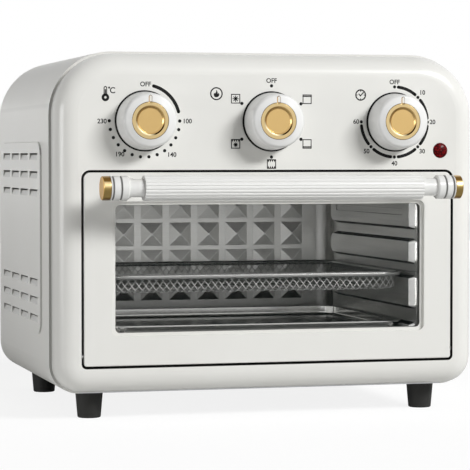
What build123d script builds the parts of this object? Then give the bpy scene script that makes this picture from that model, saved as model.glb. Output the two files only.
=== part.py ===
"""Countertop air fryer oven with three dials and a drop-down glass door.

Millimetres, +Z up, +X to the right seen from the front, +Y to the back.
The origin is the middle of the whole footprint, on the surface that the feet stand on.
"""
from build123d import *
from math import cos, radians, sqrt, tan
import os

os.makedirs("parts", exist_ok=True)

# Housing
body_width = 370.0
body_depth = 275.0
control_height = 100.6
top_corner_radius = 53.0
bottom_corner_radius = 25.0
sheet = 1.0

# Moulded front
fascia_depth = 24.6
fascia_inset = 2.0
fascia_wall = 3.0
fascia_front_radius = 18.0
seam_width = 0.2
front_return = 3.4
tongue_depth = 3.0
tongue_fit = 0.25

# Feet
foot_height = 22.0
foot_top_radius = 11.7
foot_bottom_radius = 9.8
foot_side_inset = 37.2
foot_front_inset = 42.0
foot_back_inset = 22.6
foot_recess_radius = 5.5
foot_recess_depth = 10.0
foot_edge_radius = 1.2
foot_screw_radius = 2.0
screw_clearance = 0.2
screw_end = 1.0
screw_head_radius = 4.2
screw_head_height = 3.0
nut_radius = 4.2
nut_height = 3.2

# Door and its window
door_side_inset = 24.5
door_height = 160.0
door_rise = 24.4
door_gap = 1.6
door_depth = 10.0
door_top_radius = 5.5
door_bottom_radius = 2.5
door_edge_radius = 1.0
door_heel_radius = 5.0
window_side = 27.0
window_rise = 27.2
window_drop = 26.8
window_radius = 4.0
rim_step_depth = 2.8
rim_step_width = 2.8
rim_lip = 1.6
glass_thickness = 4.0
glass_overlap = 5.5
glass_fit = 0.4

# Hinge line of the door
hinge_behind_face = 4.5
hinge_above_edge = 8.0
pin_radius = 2.0
pin_running_fit = 0.05
pin_press_fit = 0.02
pin_grip = 14.0
pin_reach = 6.0
pin_chamfer = 0.4
spring_radius = 3.2
spring_length = 7.4
spring_inset = 2.5

# Frame behind the door and the panel that clamps the glass
frame_setback = 13.0
frame_overlap = 5.5
opening_wall = 2.5
clamp_margin = 16.5
clamp_margin_low = 13.0
clamp_margin_high = 20.0
clamp_lip = 1.2
clamp_screw_radius = 1.4
clamp_screw_length = 6.0
clamp_screw_head_radius = 2.6
clamp_screw_head_height = 1.2
clamp_screw_inset = 4.6
bead_offset = 3.5
bead_width = 4.0
door_seat_gap = 0.4

# Handle
handle_standoff = 38.6
handle_drop = 12.4
handle_end_inset = 6.9
grip_radius = 10.4
grip_bore_radius = 5.3
flute_count = 22
flute_radius = 0.85
flute_depth = 0.6
neck_length = 12.8
neck_radius = 7.4
collar_length = 15.2
collar_radius = 10.0
collar_chamfer = 1.0
collar_groove = 1.0
groove_from_neck = 6.9
groove_from_cap = 1.7
cap_length = 6.6
spigot_radius = 5.0
spigot_length = 8.0
post_width = 9.0
post_height = 10.0
post_foot_width = 13.0
post_foot_height = 17.0
post_corner = 3.0
handle_screw_radius = 2.0
handle_screw_reach = 14.0
handle_screw_head = 3.8
handle_screw_head_height = 1.4
cap_inset = 0.2
cap_edge_radius = 0.9

# Dials
dial_side_inset = 75.92
dial_above_door = 42.5
knob_base_radius = 24.2
knob_front_radius = 22.4
knob_reach = 21.8
knob_gap = 0.8
knob_wall = 2.4
knob_edge_radius = 2.6
inlay_radius = 15.4
inlay_thickness = 2.2
inlay_chamfer = 0.4
inlay_dish_radius = 11.3
inlay_dish_depth = 1.2
inlay_fit = 0.1
pointer_start = 14.2
pointer_length = 20.9
pointer_width = 2.9
pointer_height = 0.5
pointer_slope = 40.0
hub_radius = 6.0
shaft_radius = 3.0
shaft_fit = 0.05
shaft_flat = 0.8
shaft_hole_radius = 4.2
switch_width = 36.0
switch_height = 34.0
switch_depth = 26.0
switch_bore_depth = 12.0
switch_corner = 4.0
timer_depth = 34.0
terminal_width = 6.0
terminal_length = 8.0
terminal_spread = 12.0

# Pilot lamp
lamp_inset = 34.5
lamp_above_door = 18.3
lamp_radius = 6.4
lamp_fit = 0.15
lamp_flange = 1.6
lamp_dome = 1.8
lamp_holder_depth = 14.0
lamp_terminal_width = 3.0
lamp_terminal_spread = 6.4

# Oven cavity
cavity_side = 26.0
cavity_above_edge = 7.6
cavity_below_edge = 4.4
cavity_back_space = 11.0
cavity_corner = 12.5
arm_length = 15.0

# Pressed shelf pads on the side walls: lower and upper edge of each face above the cavity floor,
# and the top pad, which ends under the ceiling
pad_press = 5.0
pad_slope = 25.0
shelf_pads = [(4.0, 20.0), (36.1, 60.3), (74.8, 92.1)]
top_pad_rise = 104.8
top_pad_drop = 5.5
pad_front_inset = 6.0
pad_back_inset = 24.0
pad_back_radius = 10.0
pad_front_radius = 3.4
bead_slot_height = 5.6
bead_slot_rise = 117.4
bead_slot_inset = 16.0
bead_slot_depth = 0.5

# Pyramids pressed into the back wall
pyramid_width = 21.3
pyramid_height = 22.1
pyramid_rise = 2.75
pyramid_tip = 1.6
pyramid_pitch_x = 27.75
pyramid_pitch_z = 25.9
pyramid_first_rise = 39.7
pyramid_margin = 2.0

# Louvred side panels
panel_front = 56.8
panel_back_inset = 17.4
panel_rise = 46.8
panel_drop = 75.0
panel_radius = 13.0
panel_press = 1.5
panel_slope = 15.0
louvre_length = 37.0
louvre_height = 6.0
louvre_slit = 1.4
louvre_lean = 1.7
louvre_pitch_y = 46.0
louvre_side_margin = 8.0
louvre_pitch_z = 15.45
louvre_rows = 3
louvre_upper_drop = 9.6
louvre_lower_rise = 46.5

# Heating rods
rod_radius = 3.25
rod_chamfer = 0.8
rod_floor_gap = 7.5
rod_ceiling_gap = 14.0
rod_front_inset = 62.0
rod_back_inset = 60.0
rod_overhang = 16.0
ceramic_radius = 5.5
ceramic_overhang = 10.0
ceramic_flange_radius = 6.8
ceramic_flange = 2.0
ceramic_fit = 0.1

# Convection fan over the ceiling
fan_from_front = 140.0
drum_radius = 62.0
drum_height = 30.0
drum_flange = 6.0
impeller_radius = 50.0
impeller_gap = 6.0
blade_height = 13.0
blade_count = 12
blade_length = 34.0
blade_thickness = 1.2
blade_sweep = 20.0
fan_hub_radius = 8.0
fan_shaft_radius = 3.0
ceiling_slot_length = 32.0
ceiling_slot_width = 7.0
ceiling_slot_circle = 32.0
ceiling_slot_count = 12
bracket_width = 34.0
bracket_length = 104.0
bracket_rise = 8.0
bracket_thickness = 1.5
bracket_foot = 16.0
motor_width = 58.0
motor_length = 50.0
motor_height = 18.0
motor_corner = 6.0
motor_bell_radius = 20.0
motor_bell_height = 12.0
motor_bell_round = 3.0

# Back panel and base plate
panel_fit = 0.15
return_flange = 15.0
back_screw_radius = 1.6
back_screw_inset = 8.0
back_screw_spread = 110.0
back_screw_head_radius = 3.2
back_screw_head_height = 1.8
back_screw_head_round = 0.9
back_screw_length = 8.0
vent_offset = 71.0
vent_columns = 6
vent_rows = 7
low_vent_columns = 4
low_vent_rows = 5
vent_length = 34.0
vent_width = 4.0
vent_pitch_x = 44.0
vent_pitch_z = 9.0
base_vent_columns = 2
base_vent_rows = 5
base_vent_length = 68.0
base_vent_pitch_x = 132.0
base_vent_pitch_y = 18.0
gland_inset = 33.0
gland_rise = 38.0
gland_bore_radius = 3.6
gland_radius = 8.0
gland_flange_radius = 11.0
gland_barb_radius = 10.0
gland_fit = 0.1
gland_proud = 5.0
gland_inside = 7.0

# Mesh basket
wire_radius = 2.0
basket_side_gap = 3.0
basket_front_inset = 20.5
basket_back_inset = 9.0
basket_corner = 20.0
basket_depth = 13.9
basket_pad_gap = 1.5
mesh_wall = 0.8
mesh_fit = 0.25
mesh_pitch = 19.0
mesh_hole = 10.5
basket_foot_radius = 4.0

# Baking tray
tray_side_gap = 2.0
tray_front_inset = 18.0
tray_back_inset = 27.0
tray_corner = 20.0
tray_wall = 1.0
tray_depth = 9.0
tray_pad_gap = 3.0
tray_foot_radius = 4.0
seat_gap = 0.3

# Places worked out from the sizes above
half_width = body_width / 2
handle_reach = handle_standoff + grip_radius
front_y = handle_reach - (handle_reach + body_depth + gland_proud) / 2
back_y = front_y + body_depth
fascia_back_y = front_y + fascia_depth
wrap_front_y = fascia_back_y + seam_width
body_height = door_rise + door_height + control_height
body_bottom = foot_height
body_top = body_bottom + body_height
body_middle = (body_bottom + body_top) / 2
base_half = half_width - bottom_corner_radius

door_width = body_width - 2 * door_side_inset
door_bottom = body_bottom + door_rise
door_top = door_bottom + door_height
door_middle = (door_bottom + door_top) / 2
window_width = door_width - 2 * window_side
window_height = door_height - window_rise - window_drop
window_middle = door_bottom + window_rise + window_height / 2
glass_front_y = front_y + rim_step_depth + rim_lip
door_back_y = front_y + door_depth
frame_y = front_y + frame_setback
hinge_y = front_y + hinge_behind_face
hinge_z = door_bottom + hinge_above_edge

handle_y = front_y - handle_standoff
handle_z = door_top - handle_drop
collar_end = door_width / 2 - handle_end_inset - cap_length
neck_end = collar_end - collar_length
grip_half = neck_end - neck_length
post_x = grip_half + neck_length / 2

dial_pitch = half_width - dial_side_inset
dial_z = door_top + dial_above_door
lamp_x = half_width - lamp_inset
lamp_z = door_top + lamp_above_door
inner_face_y = front_y + fascia_wall
knob_back_y = front_y - knob_gap
knob_front_y = front_y - knob_reach

cavity_width = door_width - 2 * cavity_side
cavity_half = cavity_width / 2
cavity_floor = door_bottom + cavity_above_edge
cavity_ceiling = door_top - cavity_below_edge
cavity_height = cavity_ceiling - cavity_floor
cavity_front_y = frame_y + sheet
cavity_back_y = back_y - cavity_back_space
cavity_depth = cavity_back_y - cavity_front_y
pad_face_x = cavity_half - pad_press
pad_run = pad_press * tan(radians(pad_slope))
pad_faces = shelf_pads + [(top_pad_rise, cavity_height - top_pad_drop)]
side_wall_end_y = cavity_back_y - arm_length
rod_low_z = cavity_floor + rod_floor_gap
rod_high_z = cavity_ceiling - rod_ceiling_gap
rod_ys = [cavity_front_y + rod_front_inset, cavity_back_y - rod_back_inset]
rod_zs = [rod_low_z, rod_high_z]
fan_y = front_y + fan_from_front
pyramid_room_x = cavity_width - 2 * (cavity_corner + pyramid_margin) - pyramid_width
pyramid_room_z = cavity_height - pyramid_first_rise - pyramid_height / 2 - pyramid_margin
pyramid_columns = 1 + int(pyramid_room_x / pyramid_pitch_x)
pyramid_rows = 1 + int(pyramid_room_z / pyramid_pitch_z)

foot_places = [
    (side * (half_width - foot_side_inset), y)
    for y in (front_y + foot_front_inset, back_y - foot_back_inset)
    for side in (-1, 1)
]
gland_x = half_width - gland_inset
gland_z = body_bottom + gland_rise
back_screw_places = [
    (x, z)
    for x in (-back_screw_spread, 0, back_screw_spread)
    for z in (body_bottom + back_screw_inset, body_top - back_screw_inset)
] + [(side * (half_width - back_screw_inset), body_middle) for side in (-1, 1)]
clamp_screw_x = window_width / 2 + clamp_margin - clamp_screw_inset
clamp_screw_places = [
    (side * clamp_screw_x, window_middle + step * (window_height / 2 - clamp_screw_inset))
    for side in (-1, 1)
    for step in (-1, 0, 1)
]
foot_names = ["foot_front_left", "foot_front_right", "foot_back_left", "foot_back_right"]


def facing_front(y):
    """Plane at depth y that looks out of the front: its x is +X and its y is +Z."""
    return Plane(origin=(0, y, 0), x_dir=(1, 0, 0), z_dir=(0, -1, 0))


def facing_side(x, side):
    """Plane at width x that looks to +X or -X: its y is +Z, and its x is +Y or -Y."""
    return Plane(origin=(x, 0, 0), x_dir=(0, side, 0), z_dir=(side, 0, 0))


def framed_face(plane, width, height, centre_z, top_radius, bottom_radius):
    """Rectangle with its own radius for the two upper and the two lower corners."""
    with BuildSketch(plane) as face:
        with Locations((0, centre_z)):
            Rectangle(width, height)
        fillet(face.vertices().group_by(Axis.Y)[-1], top_radius)
        if bottom_radius > 0:
            fillet(face.vertices().group_by(Axis.Y)[0], bottom_radius)
    return face.sketch


def housing_face(plane, inset):
    """Outline of the housing, inset by a wall."""
    return framed_face(
        plane,
        body_width - 2 * inset,
        body_height - 2 * inset,
        body_middle,
        top_corner_radius - inset,
        bottom_corner_radius - inset,
    )


def window_face(plane, margin):
    """Outline of the window, widened by a margin."""
    with BuildSketch(plane) as face:
        with Locations((0, window_middle)):
            RectangleRounded(
                window_width + 2 * margin, window_height + 2 * margin, window_radius + margin / 2
            )
    return face.sketch


def save(piece, name):
    """Label a finished piece and write it as a file of that name."""
    piece.part.label = name
    export_step(piece.part, f"parts/{name}.step")


# Moulded front with the control panel and the door opening
with BuildPart() as fascia_hollow:
    outline = housing_face(facing_front(fascia_back_y), fascia_inset + fascia_wall)
    extrude(outline, amount=fascia_depth - fascia_wall)
    fillet(fascia_hollow.edges().group_by(Axis.Y)[0], fascia_front_radius - fascia_wall)

with BuildPart() as front_fascia:
    outline = housing_face(facing_front(fascia_back_y), fascia_inset)
    extrude(outline, amount=fascia_depth)
    fillet(front_fascia.edges().group_by(Axis.Y)[0], fascia_front_radius)
    add(fascia_hollow.part, mode=Mode.SUBTRACT)
    # Tongue that the sheet housing slips over
    outline = housing_face(facing_front(fascia_back_y + tongue_depth), front_return + tongue_fit)
    extrude(outline, amount=tongue_depth + fascia_wall)
    outline = housing_face(facing_front(fascia_back_y + tongue_depth), fascia_inset + fascia_wall)
    extrude(outline, amount=tongue_depth + fascia_wall, mode=Mode.SUBTRACT)
    # Wall round the door opening
    outline = framed_face(
        facing_front(frame_y),
        door_width + 2 * (door_gap + opening_wall),
        door_height + 2 * (door_gap + opening_wall),
        door_middle,
        door_top_radius + door_gap + opening_wall,
        door_bottom_radius + door_gap + opening_wall,
    )
    extrude(outline, amount=frame_setback - fascia_wall / 2)
    outline = framed_face(
        facing_front(frame_y),
        door_width + 2 * door_gap,
        door_height + 2 * door_gap,
        door_middle,
        door_top_radius + door_gap,
        door_bottom_radius + door_gap,
    )
    extrude(outline, amount=frame_setback, mode=Mode.SUBTRACT)
    # Holes for the three shafts and the lamp
    with BuildSketch(facing_front(front_y)):
        with Locations((0, dial_z)):
            with GridLocations(dial_pitch, 1, 3, 1):
                Circle(shaft_hole_radius)
        with Locations((lamp_x, lamp_z)):
            Circle(lamp_radius + lamp_fit)
    extrude(amount=-fascia_wall, mode=Mode.SUBTRACT)
    # Bores that the door's pins turn in
    for side in (-1, 1):
        with BuildSketch(facing_side(side * door_width / 2, side)):
            with Locations((side * hinge_y, hinge_z)):
                Circle(pin_radius + pin_running_fit)
        extrude(amount=pin_reach + seat_gap, mode=Mode.SUBTRACT)
save(front_fascia, "front_fascia")


# Painted sheet over the top and sides, with louvred panels pressed out of the sides
panel_length = body_depth - panel_front - panel_back_inset
panel_height = body_height - panel_rise - panel_drop
panel_middle = (front_y + panel_front + panel_length / 2, body_bottom + panel_rise + panel_height / 2)
panel_bottom = body_bottom + panel_rise
panel_top = panel_bottom + panel_height
panel_face_x = half_width + panel_press
louvre_columns = 1 + int((panel_length - 2 * louvre_side_margin - louvre_length) / louvre_pitch_y)
louvre_tops = [
    first - row * louvre_pitch_z
    for first in (panel_top - louvre_upper_drop, panel_bottom + louvre_lower_rise)
    for row in range(louvre_rows)
]


def panel_outline(x, side, inset):
    """Outline of a side panel at width x, less an inset."""
    with BuildSketch(facing_side(x, side)) as outline:
        with Locations((side * panel_middle[0], panel_middle[1])):
            RectangleRounded(panel_length - 2 * inset, panel_height - 2 * inset, panel_radius - inset)
    return outline.sketch


def louvre_profiles(y, corners):
    """The same profile for every louvre of one column, on both sides, in a plane at depth y."""
    with BuildSketch(facing_front(y)) as profiles:
        for side in (-1, 1):
            for top in louvre_tops:
                places = [(side * (panel_face_x - depth), top - drop) for depth, drop in corners]
                Polygon(*places, align=None)
    return profiles.sketch


louvre_flap = [
    (0, louvre_height),
    (0, louvre_slit),
    (louvre_lean + sheet, louvre_slit),
    (sheet, louvre_height),
]
louvre_hollow = [
    (0, louvre_height),
    (0, 0),
    (louvre_lean + 2 * sheet, 0),
    (louvre_lean + 2 * sheet, louvre_slit),
    (louvre_lean, louvre_slit),
]
with BuildPart() as housing_wrap:
    outline = housing_face(facing_front(back_y), 0)
    extrude(outline, amount=back_y - wrap_front_y)
    for side in (-1, 1):
        extrude(panel_outline(side * half_width, side, 0), amount=panel_press, taper=panel_slope)
    outline = housing_face(facing_front(back_y), sheet)
    extrude(outline, amount=back_y - wrap_front_y, mode=Mode.SUBTRACT)
    hollow_inset = sheet * (1 + tan(radians(panel_slope)))
    for side in (-1, 1):
        outline = panel_outline(side * (half_width - sheet), side, hollow_inset / 2)
        extrude(outline, amount=panel_press, taper=panel_slope, mode=Mode.SUBTRACT)
    # Return flanges: a narrow one behind the moulded front and a wide one for the back panel
    for y, width in ((wrap_front_y + sheet, front_return), (back_y - sheet, return_flange)):
        extrude(housing_face(facing_front(y), sheet / 2), amount=sheet)
        extrude(housing_face(facing_front(y), width), amount=sheet, mode=Mode.SUBTRACT)
    # Open underside, which the base plate closes
    with BuildSketch(Plane.XY.offset(body_bottom)):
        with Locations((0, (wrap_front_y + back_y) / 2)):
            Rectangle(2 * base_half, back_y - wrap_front_y)
    extrude(amount=sheet, mode=Mode.SUBTRACT)
    # Louvres: a flap pressed inwards between two cheeks, with an open slit along its top
    for column in range(louvre_columns):
        louvre_y = panel_middle[0] + (column - (louvre_columns - 1) / 2) * louvre_pitch_y
        outline = louvre_profiles(louvre_y + louvre_length / 2 + sheet, louvre_flap)
        extrude(outline, amount=louvre_length + 2 * sheet)
        outline = louvre_profiles(louvre_y + louvre_length / 2, louvre_hollow)
        extrude(outline, amount=louvre_length, mode=Mode.SUBTRACT)
    with BuildSketch(facing_front(back_y)):
        with Locations(*back_screw_places):
            Circle(back_screw_radius + screw_clearance)
    extrude(amount=3 * sheet, mode=Mode.SUBTRACT)
save(housing_wrap, "housing_wrap")


# Flat plate under the housing, with air slots
with BuildPart() as base_plate:
    with BuildSketch(Plane.XY.offset(body_bottom)):
        with Locations((0, (wrap_front_y + back_y) / 2)):
            Rectangle(2 * base_half, back_y - wrap_front_y)
            with GridLocations(base_vent_pitch_x, base_vent_pitch_y, base_vent_columns, base_vent_rows):
                SlotOverall(base_vent_length, vent_width, mode=Mode.SUBTRACT)
        with Locations(*foot_places):
            Circle(foot_screw_radius + screw_clearance, mode=Mode.SUBTRACT)
    extrude(amount=sheet)
save(base_plate, "base_plate")


# Back panel, with air slots high up and the hole for the cord gland
with BuildPart() as back_panel:
    outline = housing_face(facing_front(back_y), sheet + panel_fit)
    extrude(outline, amount=sheet)
    with BuildSketch(facing_front(back_y)):
        with Locations((0, body_middle + vent_offset)):
            with GridLocations(vent_pitch_x, vent_pitch_z, vent_columns, vent_rows):
                SlotOverall(vent_length, vent_width)
        with Locations((0, body_middle - vent_offset)):
            with GridLocations(vent_pitch_x, vent_pitch_z, low_vent_columns, low_vent_rows):
                SlotOverall(vent_length, vent_width)
        with Locations(*back_screw_places):
            Circle(back_screw_radius + screw_clearance)
        with Locations((gland_x, gland_z)):
            Circle(gland_radius + gland_fit)
    extrude(amount=sheet, mode=Mode.SUBTRACT)
save(back_panel, "back_panel")

with BuildPart() as back_panel_screws:
    with BuildSketch(facing_front(back_y)):
        with Locations(*back_screw_places):
            Circle(back_screw_head_radius)
    extrude(amount=-back_screw_head_height)
    heads = back_panel_screws.edges().group_by(Axis.Y)[-1]
    fillet(heads, back_screw_head_round)
    with BuildSketch(facing_front(back_y)):
        with Locations(*back_screw_places):
            Circle(back_screw_radius)
    extrude(amount=back_screw_length)
save(back_panel_screws, "back_panel_screws")

# Empty strain relief bush for the cord
with BuildPart() as cord_gland:
    with BuildSketch(Plane(origin=(gland_x, 0, gland_z), x_dir=(1, 0, 0), z_dir=(0, 0, 1))):
        with BuildLine():
            Polyline(
                (gland_bore_radius, back_y - sheet - gland_inside),
                (gland_radius, back_y - sheet - gland_inside),
                (gland_barb_radius, back_y - sheet - gland_inside / 2),
                (gland_barb_radius, back_y - sheet),
                (gland_radius, back_y - sheet),
                (gland_radius, back_y),
                (gland_flange_radius, back_y),
                (gland_flange_radius, back_y + gland_proud / 2),
                (gland_radius, back_y + gland_proud),
                (gland_bore_radius, back_y + gland_proud),
                close=True,
            )
        make_face()
    revolve(axis=Axis((gland_x, 0, gland_z), (0, 1, 0)))
save(cord_gland, "cord_gland")


# Four tapered feet, each held by a screw and nut through the base plate
for name, (foot_x, foot_y) in zip(foot_names, foot_places):
    with BuildPart() as foot:
        with BuildSketch(Plane(origin=(foot_x, foot_y, 0), x_dir=(1, 0, 0), z_dir=(0, -1, 0))):
            with BuildLine():
                Polyline(
                    (0, 0),
                    (foot_bottom_radius, 0),
                    (foot_top_radius, foot_height),
                    (0, foot_height),
                    close=True,
                )
            make_face()
        revolve(axis=Axis((foot_x, foot_y, 0), (0, 0, 1)))
        fillet(foot.edges().group_by(Axis.Z)[0], foot_edge_radius)
        with Locations(Plane(origin=(foot_x, foot_y, 0), x_dir=(1, 0, 0), z_dir=(0, 0, -1))):
            CounterBoreHole(foot_screw_radius + screw_clearance, foot_recess_radius, foot_recess_depth)
    save(foot, name)

foot_screw_length = foot_height - foot_recess_depth + sheet + nut_height + screw_end
from_below = (Align.CENTER, Align.CENTER, Align.MIN)
with BuildPart() as foot_screws:
    for foot_x, foot_y in foot_places:
        with Locations((foot_x, foot_y, foot_recess_depth - screw_head_height)):
            Cylinder(screw_head_radius, screw_head_height, align=from_below)
        with Locations((foot_x, foot_y, foot_recess_depth)):
            Cylinder(foot_screw_radius, foot_screw_length, align=from_below)
save(foot_screws, "foot_screws")

with BuildPart() as foot_nuts:
    with BuildSketch(Plane.XY.offset(body_bottom + sheet)):
        with Locations(*foot_places):
            RegularPolygon(nut_radius, 6)
            Circle(foot_screw_radius + pin_running_fit, mode=Mode.SUBTRACT)
    extrude(amount=nut_height)
save(foot_nuts, "foot_nuts")


# Door frame with the stepped rim round its window
with BuildPart() as door_frame:
    outline = framed_face(
        facing_front(door_back_y), door_width, door_height, door_middle, door_top_radius, door_bottom_radius
    )
    extrude(outline, amount=door_depth)
    fillet(door_frame.edges().group_by(Axis.Y)[0], door_edge_radius)
    # Rounded heel that passes the frame behind as the door drops
    with BuildSketch(facing_side(-half_width, 1)):
        with Locations((door_back_y, door_bottom)):
            Rectangle(2 * door_heel_radius, 2 * door_heel_radius)
        with Locations((door_back_y - door_heel_radius, door_bottom + door_heel_radius)):
            Circle(door_heel_radius, mode=Mode.SUBTRACT)
    extrude(amount=body_width, mode=Mode.SUBTRACT)
    # Stepped rim, window and the pocket that holds the glass
    outline = window_face(facing_front(front_y), rim_step_width)
    extrude(outline, amount=-rim_step_depth, mode=Mode.SUBTRACT)
    outline = window_face(facing_front(front_y), 0)
    extrude(outline, amount=-door_depth, mode=Mode.SUBTRACT)
    outline = window_face(facing_front(door_back_y), glass_overlap + glass_fit)
    extrude(outline, amount=door_back_y - glass_front_y, mode=Mode.SUBTRACT)
    # Holes for the handle screws, the clamp screws and the hinge pins
    with BuildSketch(facing_front(door_back_y)):
        with Locations((-post_x, handle_z), (post_x, handle_z)):
            Circle(handle_screw_radius + screw_clearance)
    extrude(amount=door_depth, mode=Mode.SUBTRACT)
    with BuildSketch(facing_front(door_back_y)):
        with Locations(*clamp_screw_places):
            Circle(clamp_screw_radius + pin_running_fit)
    extrude(amount=clamp_screw_length, mode=Mode.SUBTRACT)
    for side in (-1, 1):
        with BuildSketch(facing_side(side * door_width / 2, side)):
            with Locations((side * hinge_y, hinge_z)):
                Circle(pin_radius + pin_press_fit)
        extrude(amount=-pin_grip, mode=Mode.SUBTRACT)
        # Pocket for the hinge spring, open to the back
        spring_plane = facing_side(side * (door_width / 2 - spring_inset), side)
        with BuildSketch(spring_plane):
            with Locations((side * hinge_y, hinge_z)):
                Circle(spring_radius + seat_gap)
            with Locations((side * (hinge_y + door_depth / 2), hinge_z)):
                Rectangle(door_depth, 2 * (spring_radius + seat_gap))
        extrude(amount=-spring_length - 2 * seat_gap, mode=Mode.SUBTRACT)
save(door_frame, "door_frame")

with BuildPart() as door_glass:
    outline = window_face(facing_front(glass_front_y + glass_thickness), glass_overlap)
    extrude(outline, amount=glass_thickness)
save(door_glass, "door_glass")


# Sheet panel behind the door: a lip that holds the glass and a bead that meets the oven front
clamp_bottom = window_middle - window_height / 2 - clamp_margin_low
clamp_top = window_middle + window_height / 2 + clamp_margin_high
with BuildPart() as glass_clamp:
    outline = framed_face(
        facing_front(door_back_y + sheet),
        window_width + 2 * clamp_margin,
        clamp_top - clamp_bottom,
        (clamp_top + clamp_bottom) / 2,
        window_radius + clamp_lip,
        window_radius + clamp_lip,
    )
    extrude(outline, amount=sheet)
    outline = window_face(facing_front(door_back_y), clamp_lip)
    extrude(outline, amount=door_back_y - glass_front_y - glass_thickness - glass_fit / 2)
    outline = window_face(facing_front(frame_y - door_seat_gap), bead_offset + bead_width)
    extrude(outline, amount=frame_y - door_seat_gap - door_back_y - sheet / 2)
    outline = window_face(facing_front(frame_y - door_seat_gap), bead_offset)
    extrude(outline, amount=frame_y - door_seat_gap - door_back_y - sheet, mode=Mode.SUBTRACT)
    outline = window_face(facing_front(frame_y), 0)
    extrude(outline, amount=frame_setback, mode=Mode.SUBTRACT)
    with BuildSketch(facing_front(frame_y)):
        with Locations((-post_x, handle_z), (post_x, handle_z)):
            Circle(handle_screw_radius + screw_clearance)
        with Locations(*clamp_screw_places):
            Circle(clamp_screw_radius + screw_clearance)
    extrude(amount=frame_setback, mode=Mode.SUBTRACT)
save(glass_clamp, "glass_clamp")

with BuildPart() as clamp_screws:
    with BuildSketch(facing_front(door_back_y + sheet + clamp_screw_head_height)):
        with Locations(*clamp_screw_places):
            Circle(clamp_screw_head_radius)
    extrude(amount=clamp_screw_head_height)
    with BuildSketch(facing_front(door_back_y + sheet)):
        with Locations(*clamp_screw_places):
            Circle(clamp_screw_radius)
    extrude(amount=sheet + clamp_screw_length - screw_end)
save(clamp_screws, "clamp_screws")

# Pins pressed into the door that turn in the moulded front, with their springs
for name, side in (("hinge_pin_left", -1), ("hinge_pin_right", 1)):
    with BuildPart() as hinge_pin:
        with BuildSketch(facing_side(side * (door_width / 2 - pin_grip), side)):
            with Locations((side * hinge_y, hinge_z)):
                Circle(pin_radius)
        extrude(amount=pin_grip + pin_reach)
        chamfer(hinge_pin.edges().filter_by(GeomType.CIRCLE), pin_chamfer)
    save(hinge_pin, name)

for name, side in (("hinge_spring_left", -1), ("hinge_spring_right", 1)):
    spring_x = door_width / 2 - spring_inset - seat_gap
    with BuildPart() as hinge_spring:
        with BuildSketch(facing_side(side * spring_x, side)):
            with Locations((side * hinge_y, hinge_z)):
                Circle(spring_radius)
                Circle(pin_radius + seat_gap, mode=Mode.SUBTRACT)
        extrude(amount=-spring_length)
    save(hinge_spring, name)


# Fluted handle between two collars with brass caps, with a ridge at its very front
flute_circle = grip_radius + flute_radius - flute_depth
with BuildPart() as handle_grip:
    with BuildSketch(facing_side(-grip_half, 1)):
        with Locations((handle_y, handle_z)):
            Circle(grip_radius)
            with PolarLocations(flute_circle, flute_count, start_angle=180 / flute_count):
                Circle(flute_radius, mode=Mode.SUBTRACT)
            Circle(grip_bore_radius, mode=Mode.SUBTRACT)
    extrude(amount=2 * grip_half)
save(handle_grip, "handle_grip")

groove_xs = [neck_end + groove_from_neck, collar_end - groove_from_cap]
for name, side in (("handle_bracket_left", -1), ("handle_bracket_right", 1)):
    grooves = [
        (side * (x + step * collar_groove), collar_radius - (1 - abs(step)) * collar_groove)
        for x in groove_xs
        for step in (-1, 0, 1)
    ]
    with BuildPart() as bracket:
        with BuildSketch(Plane(origin=(0, handle_y, handle_z), x_dir=(1, 0, 0), z_dir=(0, -1, 0))):
            with BuildLine():
                Polyline(
                    (side * (grip_half - spigot_length), 0),
                    (side * (grip_half - spigot_length), spigot_radius),
                    (side * grip_half, spigot_radius),
                    (side * grip_half, neck_radius),
                    (side * neck_end, neck_radius),
                    (side * neck_end, collar_radius - collar_chamfer),
                    (side * (neck_end + collar_chamfer), collar_radius),
                    *grooves,
                    (side * collar_end, collar_radius),
                    (side * collar_end, 0),
                    close=True,
                )
            make_face()
        revolve(axis=Axis((0, handle_y, handle_z), (1, 0, 0)))
        # Post that carries the handle in front of the door
        with BuildSketch(facing_front(front_y)):
            with Locations((side * post_x, handle_z)):
                RectangleRounded(post_foot_width, post_foot_height, post_corner)
        with BuildSketch(facing_front(handle_y)):
            with Locations((side * post_x, handle_z)):
                RectangleRounded(post_width, post_height, post_corner)
        loft(ruled=True)
        with BuildSketch(facing_front(front_y)):
            with Locations((side * post_x, handle_z)):
                Circle(handle_screw_radius + pin_running_fit)
        extrude(amount=handle_screw_reach + screw_end, mode=Mode.SUBTRACT)
    save(bracket, name)

for name, side in (("handle_cap_left", -1), ("handle_cap_right", 1)):
    with BuildPart() as handle_cap:
        with BuildSketch(facing_side(side * collar_end, side)):
            with Locations((side * handle_y, handle_z)):
                Circle(collar_radius - cap_inset)
        extrude(amount=cap_length)
        rim = handle_cap.edges().filter_by(GeomType.CIRCLE)
        fillet(rim, cap_edge_radius)
    save(handle_cap, name)

with BuildPart() as handle_screws:
    with BuildSketch(facing_front(door_back_y + sheet + handle_screw_head_height)):
        with Locations((-post_x, handle_z), (post_x, handle_z)):
            Circle(handle_screw_head)
    extrude(amount=handle_screw_head_height)
    with BuildSketch(facing_front(door_back_y + sheet)):
        with Locations((-post_x, handle_z), (post_x, handle_z)):
            Circle(handle_screw_radius)
    extrude(amount=sheet + door_depth + handle_screw_reach)
save(handle_screws, "handle_screws")


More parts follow.
